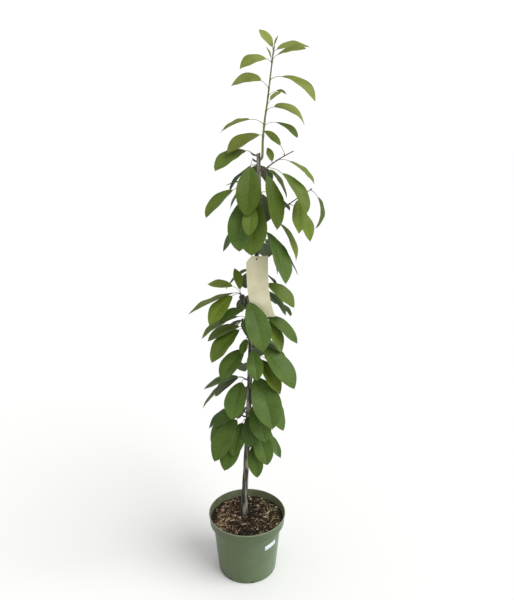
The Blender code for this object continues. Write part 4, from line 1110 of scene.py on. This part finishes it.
high_points = shoot("high_shoot", *HIGH_SHOOT)
low_points = shoot("low_shoot", *LOW_SHOOT)

# %% Old stub
STUB_HEIGHT, STUB_BEARING = 0.894, -168
STUB_REACH, STUB_RISE, STUB_SAG, STUB_STEPS = 0.026, 0.050, 0.004, 5
STUB_FOOT_RADIUS, STUB_TOP_RADIUS, STUB_SWELL = 0.0047, 0.0096, 0.5
STUB_STEM_LENGTH, STUB_STEM_BEND = 0.009, 0.44
STUB_SIDES, STUB_PLAIN, STUB_KNOB = 28, 0.93, 0.05
STUB_GRAIN, STUB_RELIEF = 210, 0.0009
# How far past the stub's end each ring of its rounded crown lies, and its share of the radius
STUB_CROWN = ((0.0022, 0.78), (0.0036, 0.42))
STUB_STEM_RADII = (0.0034, 0.0030, 0.0022)
outward = heading(STUB_BEARING)
start = seat(STUB_HEIGHT, outward, STUB_FOOT_RADIUS)
end = start + outward * STUB_REACH + Vector((0, 0, STUB_RISE))
path = bent_path(start, end, -STUB_SAG, STUB_STEPS)
shares = [(i / STUB_STEPS) ** STUB_SWELL for i in range(STUB_STEPS + 1)]
radii = [lerp(STUB_FOOT_RADIUS, STUB_TOP_RADIUS, share) for share in shares]
way = (path[-1] - path[-2]).normalized()
stub_points = [path[-1] + way * GAP, path[-1] + way * (GAP + STUB_STEM_LENGTH)]
fine, thick = smooth_path([start - outward * SINK * 2] + path[1:], radii, 10)
knobs = [math.sin(i * 1.3) + noise.noise(Vector((i * 0.37, 2.0, 0))) for i in range(len(thick))]
rough = [radius * (STUB_PLAIN + STUB_KNOB * knob) for radius, knob in zip(thick, knobs)]
fine += [path[-1] + way * past for past, _ in STUB_CROWN]
rough += [STUB_TOP_RADIUS * share for _, share in STUB_CROWN]
points, faces = tube(fine, rough, STUB_SIDES, outward)
for point in points:
    point += (point - path[2]).normalized() * noise.noise(point * STUB_GRAIN) * STUB_RELIEF
dress(closed_piece("old_stub", points, faces, 60, bark), "bark", "stub")
low, high = stub_points
stub_stem = [low - way * SINK, low.lerp(high, STUB_STEM_BEND), high]
stub_tube = tube(*smooth_path(stub_stem, STUB_STEM_RADII, 6), WOOD_SIDES, way)
dress(closed_piece("stub_shoot", *stub_tube, 60, brown_wood), "bark")
add_bud(buds, high - way * BUD_SINK, way, *STUB_BUD)

# %% [markdown]
# ## The rule for a leaf
# A leaf starts at a point on its stem, climbs on its stalk, and then arches over, curls a little, folds
# along its middle and rolls. All of these come from one seeded draw. The coarse rings below stand for the
# solid leaf. They are tested against everything already in place, and a leaf whose space is taken is turned
# a few degrees until it is free, just as in the solids.

# %% Measures of a leaf
STALK_SHARE, STALK_EXTRA = 0.15, 0.004
STALK_RISE, STEEPEST_STALK = 72, 80
LEAF_WIDTH_SHARE, LEAF_WIDTH_VARIES = 0.49, (0.92, 1.06)
ARCH, ARCH_VARIES, ARCH_LEAST_SHARE, ARCH_GROWTH = 28, (0.8, 1.2), 0.35, 6
CURL = 10
FOLD, FOLD_VARIES = 13, (0.7, 1.3)
ROLL, ROLL_VARIES = 14, 12
Shape = namedtuple("Shape", "stalk width arch curl roll fold rise base_lift")


def leaf_shape(leaf, chance):
    """The seeded measures of one leaf."""
    stalk = leaf.stalk if leaf.stalk is not None else STALK_SHARE * leaf.length + STALK_EXTRA
    width = leaf.length * LEAF_WIDTH_SHARE * chance.uniform(*LEAF_WIDTH_VARIES)
    arch = ARCH * chance.uniform(*ARCH_VARIES) * min(1.0, ARCH_LEAST_SHARE + leaf.length * ARCH_GROWTH)
    arch = leaf.arch if leaf.arch is not None else arch
    curl = chance.uniform(-CURL, CURL)
    face = leaf.face if leaf.face is not None else ROLL + chance.uniform(-ROLL_VARIES, ROLL_VARIES)
    roll = math.radians(face) * (1 if math.cos(math.radians(leaf.bearing)) > 0 else -1)
    fold = math.radians(FOLD * chance.uniform(*FOLD_VARIES))
    rise = min(STEEPEST_STALK, leaf.lift + STALK_RISE)
    return Shape(stalk, width, arch, curl, roll, fold, rise, leaf.lift + arch / 2)


print("one leaf:", leaf_shape(SPURS[0][4][0], random.Random(SEED)))

# %% Path of a leaf
STALK_STEPS = 3


def side_and_top(bearing, lift, roll):
    """Directions across a leaf and out of its upper face, also where it hangs past straight down."""
    direction, level = heading(bearing, lift), heading(bearing + 90)
    side = level * math.cos(roll) + direction.cross(level) * math.sin(roll)
    return side, direction.cross(side)


def stalk_path(root, leaf, shape, steps):
    """Points down the stalk, with the bearing and lift at each."""
    place, rows = Vector(root), []
    for step in range(steps + 1):
        rows.append((place, leaf.bearing, lerp(shape.rise, shape.base_lift, step / steps)))
        middle = lerp(shape.rise, shape.base_lift, (step + 0.5) / steps)
        place = place + heading(leaf.bearing, middle) * (shape.stalk / steps)
    return rows


def blade_path(start, leaf, shape, stations):
    """Points along the middle of the blade at these stations, with the bearing and lift at each."""
    place, rows, before = start, [], 0.0
    for station in stations:
        middle = (before + station) / 2
        bearing, lift = leaf.bearing + shape.curl * middle, shape.base_lift - shape.arch * middle
        place = place + heading(bearing, lift) * (leaf.length * (station - before))
        rows.append((place, bearing, lift))
        before = station
    return rows


print("straight down and flat, a leaf's side and top are", side_and_top(0, -90, 0.0))

# %% Coarse leaf
STALK_RADIUS = 0.0011
STATIONS = (0.10, 0.28, 0.48, 0.68, 0.85, 0.945)
LEAF_THICKNESS_SHARE = 1 / 85
LEAF_OUTLINE_LEAN, LEAF_OUTLINE_ROUND = 1.2, (0.5, 0.95)


def outline(station):
    """Half of the blade's width at this share of its length, as a share of half its greatest width."""
    return math.sin(math.pi * station**LEAF_OUTLINE_LEAN) ** lerp(*LEAF_OUTLINE_ROUND, station)


def leaf_rings(root, leaf, shape, grow=0.0):
    """Rings of four points down a stalk and blade, then the tip, widened by grow for testing clearance."""
    rings = []

    def ring(place, bearing, lift, half_width, half_thick, raise_edge):
        side, top = side_and_top(bearing, lift, shape.roll)
        edge = top * (half_width * math.sin(raise_edge))
        span = side * (half_width * math.cos(raise_edge))
        rings.append((place + span + edge, place + top * half_thick,
                      place - span + edge, place - top * half_thick))

    for place, bearing, lift in stalk_path(root, leaf, shape, STALK_STEPS):
        ring(place, bearing, lift, STALK_RADIUS + grow, STALK_RADIUS + grow, 0.0)
    rows = blade_path(place, leaf, shape, STATIONS + (1.0,))
    thick = leaf.length * LEAF_THICKNESS_SHARE
    for station, (place, bearing, lift) in zip(STATIONS, rows):
        ring(place, bearing, lift, shape.width / 2 * outline(station) + grow, thick / 2 + grow, shape.fold)
    tip, bearing, lift = rows[-1]
    return rings, tip + heading(bearing, lift) * grow


def coarse_leaf(rings, tip, first=0):
    """Points and faces of a coarse leaf, from the given ring to the tip."""
    used = rings[first:]
    points = [point for ring in used for point in ring] + [tip]
    faces = []
    for i in range(len(used) - 1):
        for side in range(4):
            a, b = i * 4 + side, i * 4 + (side + 1) % 4
            faces += [(a, b, b + 4), (a, b + 4, a + 4)]
    last = (len(used) - 1) * 4
    faces += [(last + side, last + (side + 1) % 4, len(points) - 1) for side in range(4)]
    faces += [(0, 2, 1), (0, 3, 2)]
    return points, faces


print("half widths of a coarse blade:", [round(outline(station), 2) for station in STATIONS])

# %% Space for a leaf
CLEARANCE, WIDEST_HALF_LEAF = 0.0012, 0.04
TURN_REACHES = (5, 10, 16, 23, 30)
TURN_WAYS = ((1, 0), (-1, 0), (0, -0.6), (0, 0.6), (1, -0.5), (-1, -0.5), (1, 0.5), (-1, 0.5))
TURNS = [(0, 0)] + [(reach * way, reach * tilt) for reach in TURN_REACHES for way, tilt in TURN_WAYS]


class Space:
    """What is in place already, which a new leaf keeps clear of: limbs, stems and other leaves."""

    def __init__(self):
        self.things = []

    def add(self, owner, points, faces):
        middle = sum((Vector(point) for point in points), Vector()) / len(points)
        span = max((Vector(point) - middle).length for point in points)
        self.things.append((owner, tree_of(points, faces), middle, span))

    def free(self, owner, rings, tip):
        """True when the leaf is clear of all else. Its stalk may touch its own stem and its own mass."""
        whole = tree_of(*coarse_leaf(rings, tip, 1))
        blade = tree_of(*coarse_leaf(rings, tip, STALK_STEPS))
        middle = (rings[STALK_STEPS][1] + tip) / 2
        span = max((rings[0][1] - middle).length, (tip - middle).length) + WIDEST_HALF_LEAF
        for other, tree, centre, reach in self.things:
            if (centre - middle).length > reach + span:
                continue
            if (blade if other == owner else whole).overlap(tree):
                return False
        return True


def placed_leaf(space, owner, number, root, leaf):
    """The leaf turned until its space is free, with its shape, or None where no turn frees it."""
    seed = f"{SEED} {owner} {number}"
    for turn, tilt in TURNS:
        tried = leaf._replace(bearing=leaf.bearing + turn, lift=leaf.lift + tilt)
        shape = leaf_shape(tried, random.Random(seed))
        if space.free(owner, *leaf_rings(root, tried, shape, CLEARANCE)):
            space.add(owner, *coarse_leaf(*leaf_rings(root, tried, shape), STALK_STEPS))
            return root, tried, shape
    return None


print("a leaf tries", len(TURNS), "ways to lie")

# %% Masses of leaves
def along_stem(points, share):
    """The point at this share of a row of points."""
    at = share * (len(points) - 1)
    low = min(int(at), len(points) - 2)
    return points[low].lerp(points[low + 1], at - low)


masses = [("leader_leaves", [(on_line(LEADER_LINE, height), leaf) for height, leaf in LEADER_LEAVES])]
for name, points, leaves in (
    ("stub_leaves", stub_points, STUB_LEAVES),
    ("low_shoot_leaves", low_points, LOW_SHOOT_LEAVES),
    ("high_shoot_leaves", high_points, HIGH_SHOOT_LEAVES),
):
    masses.append((name, [(along_stem(points, share), leaf) for share, leaf in leaves]))
for name, _, _, _, leaves in all_spurs:
    centres = paths[name]
    shares = [lerp(*SPUR_ROOT_SHARES, (i + 1) / len(leaves)) for i in range(len(leaves))]
    roots = [centres[-2].lerp(centres[-1], share) for share in shares]
    masses.append((name, list(zip(roots, leaves))))

print(sum(len(rooted) for _, rooted in masses), "leaves in", len(masses), "masses")

# %% What is in place before the leaves: limbs, made things, and the plain stems of the solids
def solid_of(node):
    """Points and faces of one of the frame's solids."""
    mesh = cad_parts[node].data
    return [vertex.co for vertex in mesh.vertices], [tuple(face.vertices) for face in mesh.polygons]


space = Space()
for node in ("pot", "soil", "trunk", "tag", "tag_tie", "leader", "stub", "high_shoot", "low_shoot"):
    space.add(node, *solid_of(node))
STEM_STEPS, LEADER_SIDES, SHOOT_SIDES = 12, 7, 6
leafy_from = LEADER_SPLIT + GAP
leafy_span = leader_top - LEADER_SPLIT - GAP
stem_heights = [leafy_from + leafy_span * i / STEM_STEPS for i in range(STEM_STEPS + 1)]
leafy_stem = [on_line(LEADER_LINE, height) for height in stem_heights]
space.add("leader_leaves", *tube(leafy_stem, [plain_leader(height) for height in stem_heights], LEADER_SIDES))
stub_stem = [low, low.lerp(high, STUB_STEM_BEND), high]
space.add("stub_leaves", *tube(stub_stem, STUB_STEM_RADII, LEADER_SIDES, way))
for name, points in (("low_shoot_leaves", low_points), ("high_shoot_leaves", high_points)):
    count = len(points) - 1
    thins = [lerp(SHOOT_TIP_RADIUS, SHOOT_RADIUS, i / SHOOT_STEPS) for i in range(count, -1, -1)]
    space.add(name, *tube(points, thins, SHOOT_SIDES))
for name, _, bearing, _, _ in all_spurs:
    space.add(name, *tube(paths[name], SPUR_RADII, SHOOT_SIDES, heading(bearing)))
print(len(space.things), "things are in place")

# %% Every leaf finds its place
grown = []
for name, rooted in masses:
    for number, (root, leaf) in enumerate(rooted):
        found = placed_leaf(space, name, number, root, leaf)
        if found is None:
            print(f"{name}: no room for leaf {number}")
        else:
            grown.append((name, number, *found))
print(len(grown), "leaves found their place")

# %% [markdown]
# ## Leaf blades
# A cherry leaf is oval with its widest part past the middle, a short drawn-out tip and a finely toothed
# edge. Side veins leave the midrib at a slant and bend towards the tip, and the blade swells a little
# between them. The grid of each leaf follows the veins: its rows sweep forward from the midrib, so a narrow
# row can be a vein with a colour of its own, and the edge's teeth fall between. Upper and lower faces are
# two sheets that meet at the edge, because the underside is paler and duller.

# %% Outline and rows of a blade
VEINS, ROWS_BETWEEN, VEIN_WIDTH = 9, 4, 0.0055

# Outline of the drawn blade: how far its widest part leans, its roundness near stalk and tip, where its body
# ends, and how broad the nib past it starts
NARROW_TIP = (1.10, 0.55, 1.05, 0.985, 1.30)
EASY_TIP = (1.10, 0.55, 0.95, 0.975, 1.15)
ROUND_TIP = (1.15, 0.55, 0.68, 0.965, 0.97)


def drawn_outline(along, lean, near, far, body_end, nib):
    """Half of the drawn width at this share of the length: a rounded body with a short nib past it."""
    body = math.sin(math.pi * min(1.0, along / body_end) ** lean) ** lerp(near, far, along)
    return max(body, nib * (1 - along)) if along > 0.5 else body


def blade_rows():
    """Stations down the midrib for the grid's rows, each with how deep in a vein it lies."""
    rows = [(0.0, 0.0)]
    gap = 1.0 / (VEINS + 1)
    for vein in range(VEINS + 1):
        start = vein * gap + (VEIN_WIDTH / 2 if vein else 0.0)
        end = (vein + 1) * gap - (VEIN_WIDTH / 2 if vein < VEINS else 0.0)
        for i in range(0 if vein else 1, ROWS_BETWEEN + 1):
            share = i / ROWS_BETWEEN
            rows.append((lerp(start, end, share), math.sin(math.pi * share) ** 0.7))
    return rows[:-1]


BLADE_ROWS = blade_rows()
print(len(BLADE_ROWS), "rows in a blade")

# %% Faces of a blade, the same for every leaf
ACROSS = (0.0, 0.022, 0.14, 0.30, 0.48, 0.66, 0.84, 1.0)
BLADE_COLUMNS = [(-1, i) for i in range(len(ACROSS) - 1, 0, -1)] + [(1, i) for i in range(len(ACROSS))]
BLADE_WIDTH = len(BLADE_COLUMNS)
UPPER, VEIN, UNDER = range(3)
IN_VEIN = 0.05


def blade_faces():
    """Faces of the two sheets, and the kind of each. The last two points are the stalk's end and the tip."""
    rows = len(BLADE_ROWS) - 1
    count, middle, faces, kinds = rows * BLADE_WIDTH, BLADE_WIDTH // 2, [], []

    def corner(sheet, row, column):
        """Number of a point. Both sheets share the points of the edge."""
        return row * BLADE_WIDTH + column + (0 if column in (0, BLADE_WIDTH - 1) else sheet * count)

    def add(sheet, face, kind):
        faces.append(face if sheet else tuple(reversed(face)))
        kinds.append(UNDER if sheet else kind)

    for sheet in (0, 1):
        for row in range(rows - 1):
            vein = BLADE_ROWS[row + 1][1] < IN_VEIN and BLADE_ROWS[row + 2][1] < IN_VEIN
            for column in range(BLADE_WIDTH - 1):
                rib = column in (middle - 1, middle)
                kind = VEIN if rib or (vein and 1 < column < BLADE_WIDTH - 3) else UPPER
                add(sheet, (corner(sheet, row, column), corner(sheet, row, column + 1),
                            corner(sheet, row + 1, column + 1), corner(sheet, row + 1, column)), kind)
        for column in range(BLADE_WIDTH - 1):
            near, far = ([corner(sheet, row, column + i) for i in (0, 1)] for row in (0, rows - 1))
            add(sheet, (near[1], near[0], 2 * count), UPPER)
            add(sheet, (far[0], far[1], 2 * count + 1), UPPER)
    return faces, kinds


BLADE_FACES, BLADE_KINDS = blade_faces()
print(len(BLADE_FACES), "faces in a blade,", BLADE_KINDS.count(VEIN), "of them in veins")

# %% One blade
SWEEP, TOOTH, TOOTH_LEAN, TOOTHED = 0.15, 0.0008, 0.006, (0.04, 0.97)
SHEET, SWELL, FULLNESS = 0.00022, 0.0030, 1.05
STEEP_AT_RIB, EASED = 1.15, 0.3
WAVE, WAVE_VARIES, WAVE_COUNTS, WAVE_SHIFT = 0.011, (0.5, 1.0), (1.6, 2.8), 0.9
BLADE_STEPS = 48


def add_blade(pile, root, leaf, shape, chance, edge):
    """Adds one leaf blade to a pile."""
    start = stalk_path(root, leaf, shape, STALK_STEPS)[-1][0]
    steps = [i / BLADE_STEPS for i in range(1, BLADE_STEPS + 1)]
    middle_rows = [(start, leaf.bearing, shape.base_lift)] + blade_path(start, leaf, shape, steps)
    wave = chance.uniform(*WAVE_VARIES) * WAVE * leaf.length
    waves = chance.uniform(*WAVE_COUNTS)
    shift = chance.uniform(0, 2 * math.pi)
    swell = SWELL * leaf.length

    def at(station):
        """Middle of the blade, bearing and lift at this share of its length."""
        place = station * BLADE_STEPS
        low = min(int(place), BLADE_STEPS - 1)
        a, b = middle_rows[low], middle_rows[low + 1]
        return [lerp(here, ahead, place - low) for here, ahead in zip(a, b)]

    def point(row, sign, column, face):
        """A point of the grid. sign tells left half from right, and face the upper sheet from the lower."""
        station, bulge = BLADE_ROWS[row]
        across = ACROSS[column]
        sweep = SWEEP * across**1.3 * 4 * station * (1 - station)
        along = min(1.0, station + sweep)
        half = shape.width / 2 * FULLNESS * drawn_outline(along, *edge)
        if across == 1.0 and row % 2 and TOOTHED[0] < along < TOOTHED[1]:
            half += TOOTH
            along = min(1.0, along + TOOTH_LEAN)
        middle, bearing, lift = at(along)
        side, top = side_and_top(bearing, lift, shape.roll)
        reach = half * across
        height = reach * math.sin(shape.fold) * (STEEP_AT_RIB - EASED * across)
        dome = math.sin(math.pi * min(across, 0.96)) ** 0.6
        height += swell * bulge * dome * min(1.0, half / (0.3 * shape.width))
        ripple = math.sin(2 * math.pi * waves * along + shift + (WAVE_SHIFT if sign > 0 else 0.0))
        height += wave * across**2.2 * ripple * min(1, 3 * along)
        height += face * SHEET * (1 - across**6)
        return middle + side * (sign * reach * math.cos(shape.fold)) + top * height

    points = [point(row, sign, column, face) for face in (1, -1)
              for row in range(1, len(BLADE_ROWS)) for sign, column in BLADE_COLUMNS]
    pile.add(points + [start, at(1.0)[0]], BLADE_FACES, BLADE_KINDS)


print("a blade has", 2 * (len(BLADE_ROWS) - 1) * BLADE_WIDTH + 2, "points")

# %% [markdown]
# ## Leaf colours
# Young leaves up the leader are yellow-green, the ones that hang out to the right are fresh green, and older
# leaves low down are deeper. The sprays up the back take the deep colours as painted shade, and the first
# leaf of spur_mid_right, which lies in shade, takes fresh colours as painted light. One colour that changes
# with height would miss that, so there are eight plain groups, from tender to deep. Each has a darker and a
# lighter green for the top, one colour for the veins and one for the underside. A group is dealt to a whole
# spray, or to a single leaf that differs.

# %% Leaf colours
LEAF_COLOURS = {
    "tender": ((0.205, 0.252, 0.040), (0.285, 0.332, 0.064), (0.300, 0.340, 0.085), (0.285, 0.318, 0.095)),
    "young": ((0.160, 0.200, 0.026), (0.225, 0.268, 0.044), (0.245, 0.285, 0.065), (0.240, 0.270, 0.075)),
    "spring": ((0.105, 0.138, 0.014), (0.152, 0.188, 0.026), (0.172, 0.208, 0.042), (0.165, 0.195, 0.050)),
    "fresh": ((0.118, 0.176, 0.015), (0.170, 0.236, 0.028), (0.195, 0.258, 0.048), (0.190, 0.236, 0.064)),
    "ripe": ((0.084, 0.136, 0.012), (0.124, 0.184, 0.021), (0.142, 0.200, 0.036), (0.145, 0.190, 0.052)),
    "crown": ((0.053, 0.092, 0.004), (0.082, 0.130, 0.009), (0.098, 0.146, 0.018), (0.112, 0.156, 0.034)),
    "full": ((0.056, 0.108, 0.013), (0.086, 0.148, 0.021), (0.105, 0.165, 0.034), (0.120, 0.170, 0.050)),
    "deep": ((0.036, 0.076, 0.011), (0.058, 0.104, 0.018), (0.072, 0.120, 0.028), (0.090, 0.130, 0.045)),
}
SPRAYS = {
    "young": ("leader_leaves",),
    "fresh": ("low_shoot_leaves", "high_shoot_leaves", "spur_narrow_right"),
    "ripe": ("spur_over_tag", "spur_mid_left", "spur_thin_left", "spur_heavy_front", "spur_crown_left",
             "spur_young_front"),
    "crown": ("spur_high_front", "spur_high_right"),
    "deep": ("spur_dark_right", "spur_small_front", "spur_behind_tag"),
}
SINGLE_LEAVES = {
    ("leader_leaves", 2): "tender",
    ("leader_leaves", 7): "tender",
    ("leader_leaves", 8): "tender",
    ("leader_leaves", 12): "crown",
    ("leader_leaves", 13): "spring",
    ("low_shoot_leaves", 2): "crown",
    ("stub_leaves", 1): "ripe",
    ("stub_leaves", 2): "fresh",
    ("stub_leaves", 3): "fresh",
    ("stub_leaves", 4): "fresh",
    ("spur_high_right", 1): "ripe",
    ("spur_heavy_left", 1): "ripe",
    ("spur_upper_right", 1): "ripe",
    # This leaf lies in shade; its fresh colours are painted light.
    ("spur_mid_right", 0): "fresh",
}


def leaf_group(name, number):
    """Which colours a leaf takes: its own, or else its spray's. Sprays up the back take the deep colours as
    painted shade.
    """
    spray = next((group_name for group_name, sprays in SPRAYS.items() if name in sprays), "full")
    return SINGLE_LEAVES.get((name, number), "deep" if name.startswith("back") else spray)


print(len(LEAF_COLOURS), "groups of leaf colours")

# %% Leaves by colour
TIPS = {"tender": NARROW_TIP, "young": NARROW_TIP, "spring": NARROW_TIP, "fresh": EASY_TIP}
SLOTS = {"tender": "leaf_young", "young": "leaf_young", "spring": "leaf_young", "deep": "leaf_back"}
STEM_REPLACES = ("leader_leaves", "low_shoot_leaves", "high_shoot_leaves")
piles = {group_name: Pile() for group_name in LEAF_COLOURS}
for name, number, root, leaf, shape in grown:
    kind = leaf_group(name, number)
    chance = random.Random(f"{SEED} wave {name} {number}")
    add_blade(piles[kind], root, leaf, shape, chance, TIPS.get(kind, ROUND_TIP))
for group_name, (dark, light, vein, under) in LEAF_COLOURS.items():
    upper = finish(f"leaf_{group_name}", dark, light, 0.5, 26.0, bumps=(1400, 0.12, 0.0002), softness=0.25,
                   shine=0.25)
    veins = finish(f"veins_{group_name}", tuple(v * 0.9 for v in vein), vein, 0.55, 60.0, shine=0.25)
    below = finish(f"underside_{group_name}", tuple(u * 0.85 for u in under), under, 0.7, 40.0,
                   bumps=(1800, 0.2, 0.0002), shine=0.2)
    made = piles[group_name].piece(f"leaves_{group_name}", 35, upper, veins, below)
    replaced = [name for name, _ in masses if name not in STEM_REPLACES and leaf_group(name, 0) == group_name]
    dress(made, SLOTS.get(group_name, "leaf"), *replaced)

# %% [markdown]
# ## Stalks, midribs and glands
# A cherry leaf hangs on a long thin stalk, greyish purple on old wood and greener on young. The stalk runs
# on under the blade as a raised midrib. Where stalk meets blade sit two tiny dark red glands, a mark of
# cherries.

# %% Stalks
STALK_THICK, DRAWN_STEPS, STALK_SIDES = 0.00095, 10, 8
SMALLEST_STALK, STALK_GROWTH = 0.55, 4
STALK_TAPER, RIB_TAPER = (1.25, 0.85), (0.75, 0.22)
RIB = [i / 16 for i in range(1, 14)]
GLANDS_FROM, GLAND, GLAND_OUT = 0.06, (0.0013, 0.0012), 0.0006
AXIL_BUD, AXIL_LIFT = (0.0042, 0.0026), 58
old_stalks, young_stalks, glands = Pile(), Pile(), Pile()
for name, number, root, leaf, shape in grown:
    rows = stalk_path(root, leaf, shape, DRAWN_STEPS)
    thick = STALK_THICK * min(1.0, SMALLEST_STALK + leaf.length * STALK_GROWTH)
    centres = [place for place, _, _ in rows]
    radii = [thick * lerp(*STALK_TAPER, min(1, i / 4)) for i in range(len(rows))]
    ribs = blade_path(centres[-1], leaf, shape, RIB)
    for station, (place, bearing, lift) in zip(RIB, ribs):
        top = side_and_top(bearing, lift, shape.roll)[1]
        centres.append(place - top * SHEET * 1.5)
        radii.append(thick * lerp(*RIB_TAPER, station))
    pile = young_stalks if name == "leader_leaves" else old_stalks
    pile.add(*tube(centres, radii, STALK_SIDES))
    side, top = side_and_top(leaf.bearing, shape.base_lift, shape.roll)
    if leaf.length > GLANDS_FROM:
        for sign in (-1, 1):
            foot = rows[-2][0] + side * sign * GLAND_OUT
            add_bud(glands, foot, (side * sign + top * 0.4).normalized(), *GLAND)
    if name in STEM_REPLACES:
        out = heading(leaf.bearing, AXIL_LIFT)
        add_bud(buds, root + out * BUD_OUT, out, *AXIL_BUD)

print(len(old_stalks.faces), "faces of older stalks")

# %% Finishes of stalks, glands and buds
stalk_old = finish("stalk_old", (0.105, 0.085, 0.060), (0.180, 0.140, 0.100), 0.5, 90.0)
stalk_young = finish("stalk_young", (0.170, 0.170, 0.060), (0.240, 0.240, 0.095), 0.5, 90.0)
gland_red = finish("gland_red", (0.160, 0.020, 0.016), (0.240, 0.040, 0.026), 0.35, 300.0)
bud_brown = finish("bud_brown", (0.085, 0.045, 0.026), (0.170, 0.090, 0.050), 0.5, 250.0)
dress(old_stalks.piece("stalks_old", 60, stalk_old), "leaf")
dress(young_stalks.piece("stalks_young", 60, stalk_young), "leaf_young")
dress(glands.piece("leaf_glands", 60, gland_red), "leaf")
dress(buds.piece("buds", 40, bud_brown), "bark")

# %% [markdown]
# ## Tag and its cord
# A long card tag hangs from the trunk by a thin cord through a punched hole. The card swings to the right
# and bows as it hangs, and its upper left corner is cut off. It is left bare. The sheet is bent by a
# formula, with far more rows than the solid, and the hole is cut with a Boolean.

# %% Tag
TAG_TOP, TAG_X, TAG_Y = 1.0690, 0.0328, -0.0150
TAG_LENGTH, TAG_WIDTH, TAG_THICKNESS = 0.188, 0.062, 0.0006
TAG_SWING, TAG_TUCK = 0.0237, 0.016
TAG_BOW, TAG_BOW_SPAN = 0.016, (0.1, 0.9)
TAG_CORNER, TAG_CUP = 0.018, 0.0035
TAG_ROWS, TAG_COLUMNS = 60, 20
CORNER_ACROSS, CORNER_DOWN = 4, 7


def tag_middle(height):
    """Middle of the tag at this height: it swings to the right and bows towards the front as it hangs."""
    fall = (TAG_TOP - height) / TAG_LENGTH
    bow = TAG_BOW * math.sin(math.pi * lerp(*TAG_BOW_SPAN, fall)) - TAG_TUCK * fall**4
    return Vector((TAG_X + TAG_SWING * fall**3, TAG_Y - bow, height))


def tag_point(row, column, face):
    """A point of the card: the corner's cut slants over its first rows."""
    middle = tag_middle(TAG_TOP - TAG_LENGTH * row / TAG_ROWS)
    across = column / TAG_COLUMNS - 0.5
    near_corner = max(0.0, 1 - (across + 0.5) * CORNER_ACROSS) * max(0.0, 1 - row / TAG_ROWS * CORNER_DOWN)
    cup = TAG_CUP * 4 * across * across
    return middle + Vector((across * TAG_WIDTH, cup + face * TAG_THICKNESS, -TAG_CORNER * near_corner))


tag_points = [tag_point(row, column, face) for face in (-0.5, 0.5) for row in range(TAG_ROWS + 1)
              for column in range(TAG_COLUMNS + 1)]
card = finish("tag_card", (0.700, 0.655, 0.435), (0.790, 0.745, 0.525), 0.55, 30.0,
              bumps=(1200, 0.15, 0.0002), shine=0.3)
tag = closed_piece("tag_sheet", tag_points, sheet_faces(TAG_ROWS, TAG_COLUMNS), 30, card)
print(len(tag_points), "points in the card")

# %% Hole of the tag
HOLE_RADIUS, HOLE_DROP, HOLE_SHIFT = 0.0024, 0.0085, -0.0015
HOLE_SIDES, PUNCH_DEPTH = 32, 0.02
hole = tag_middle(TAG_TOP - HOLE_DROP) + Vector((HOLE_SHIFT, 0, 0))
through = Matrix.Translation(hole) @ Matrix.Rotation(math.pi / 2, 4, "X")
rod = bmesh.new()
bmesh.ops.create_cone(rod, cap_ends=True, segments=HOLE_SIDES, radius1=HOLE_RADIUS, radius2=HOLE_RADIUS,
                      depth=PUNCH_DEPTH, matrix=through)
cut_away(tag, new_object("punch", mesh_from("punch", rod)))
dress(tag, "tag_card", "tag")

# %% Cord
TIE_RADIUS, TIE_HALF_WIDTH, TIE_PINCH, TIE_FRONT = 0.0006, 0.0118, 0.25, 0.004
TIE_STEPS, TIE_SIDES = 96, 10
HAIR = 0.0001
trunk_middle = on_line(TRUNK_LINE, hole.z)
clear = TIE_RADIUS + GAP
low_pass = hole.z + HOLE_RADIUS - clear - GAP
high_pass = TAG_TOP + clear
front = hole.y - TIE_FRONT
back = trunk_middle.y + trunk_radius(hole.z) + clear
middle_y, half_y = (front + back) / 2, (back - front) / 2
at_hole = math.sqrt(1 - ((hole.y - middle_y) / half_y) ** 2)
rise = (high_pass - low_pass) / (2 * at_hole)
middle_x = hole.x + TIE_HALF_WIDTH * TIE_PINCH * at_hole
widest_from = trunk_middle.y - TIE_FRONT
centres = []
for i in range(TIE_STEPS):
    turn = 2 * math.pi * i / TIE_STEPS
    y = middle_y + half_y * math.sin(turn)
    share = min(1.0, (y - front) / (widest_from - front))
    spread = lerp(TIE_PINCH, 1.0, share * share * (3 - 2 * share))
    place = Vector((middle_x + TIE_HALF_WIDTH * spread * math.cos(turn), y, 0.0))
    place.z = (low_pass + high_pass) / 2 + rise * math.cos(turn)
    out = place - on_line(TRUNK_LINE, place.z)
    short = trunk_radius(place.z) + clear + HAIR - out.length
    centres.append(place + out.normalized() * max(0.0, short))
cord_points = []
for i, centre in enumerate(centres):
    along = (centres[(i + 1) % TIE_STEPS] - centres[i - 1]).normalized()
    across = along.cross(Vector((0, 0, 1))).normalized()
    cord_points += circle_points(centre, across, along.cross(across), TIE_RADIUS, TIE_SIDES)
cord_brown = finish("cord_brown", (0.120, 0.085, 0.055), (0.210, 0.160, 0.105), 0.8, 700.0,
                    bumps=(2500, 0.5, 0.0003))
cord_faces = wall_faces(TIE_STEPS, TIE_SIDES, closed=True)
dress(closed_piece("tag_cord", cord_points, cord_faces, 40, cord_brown), "tie_cord", "tag_tie")
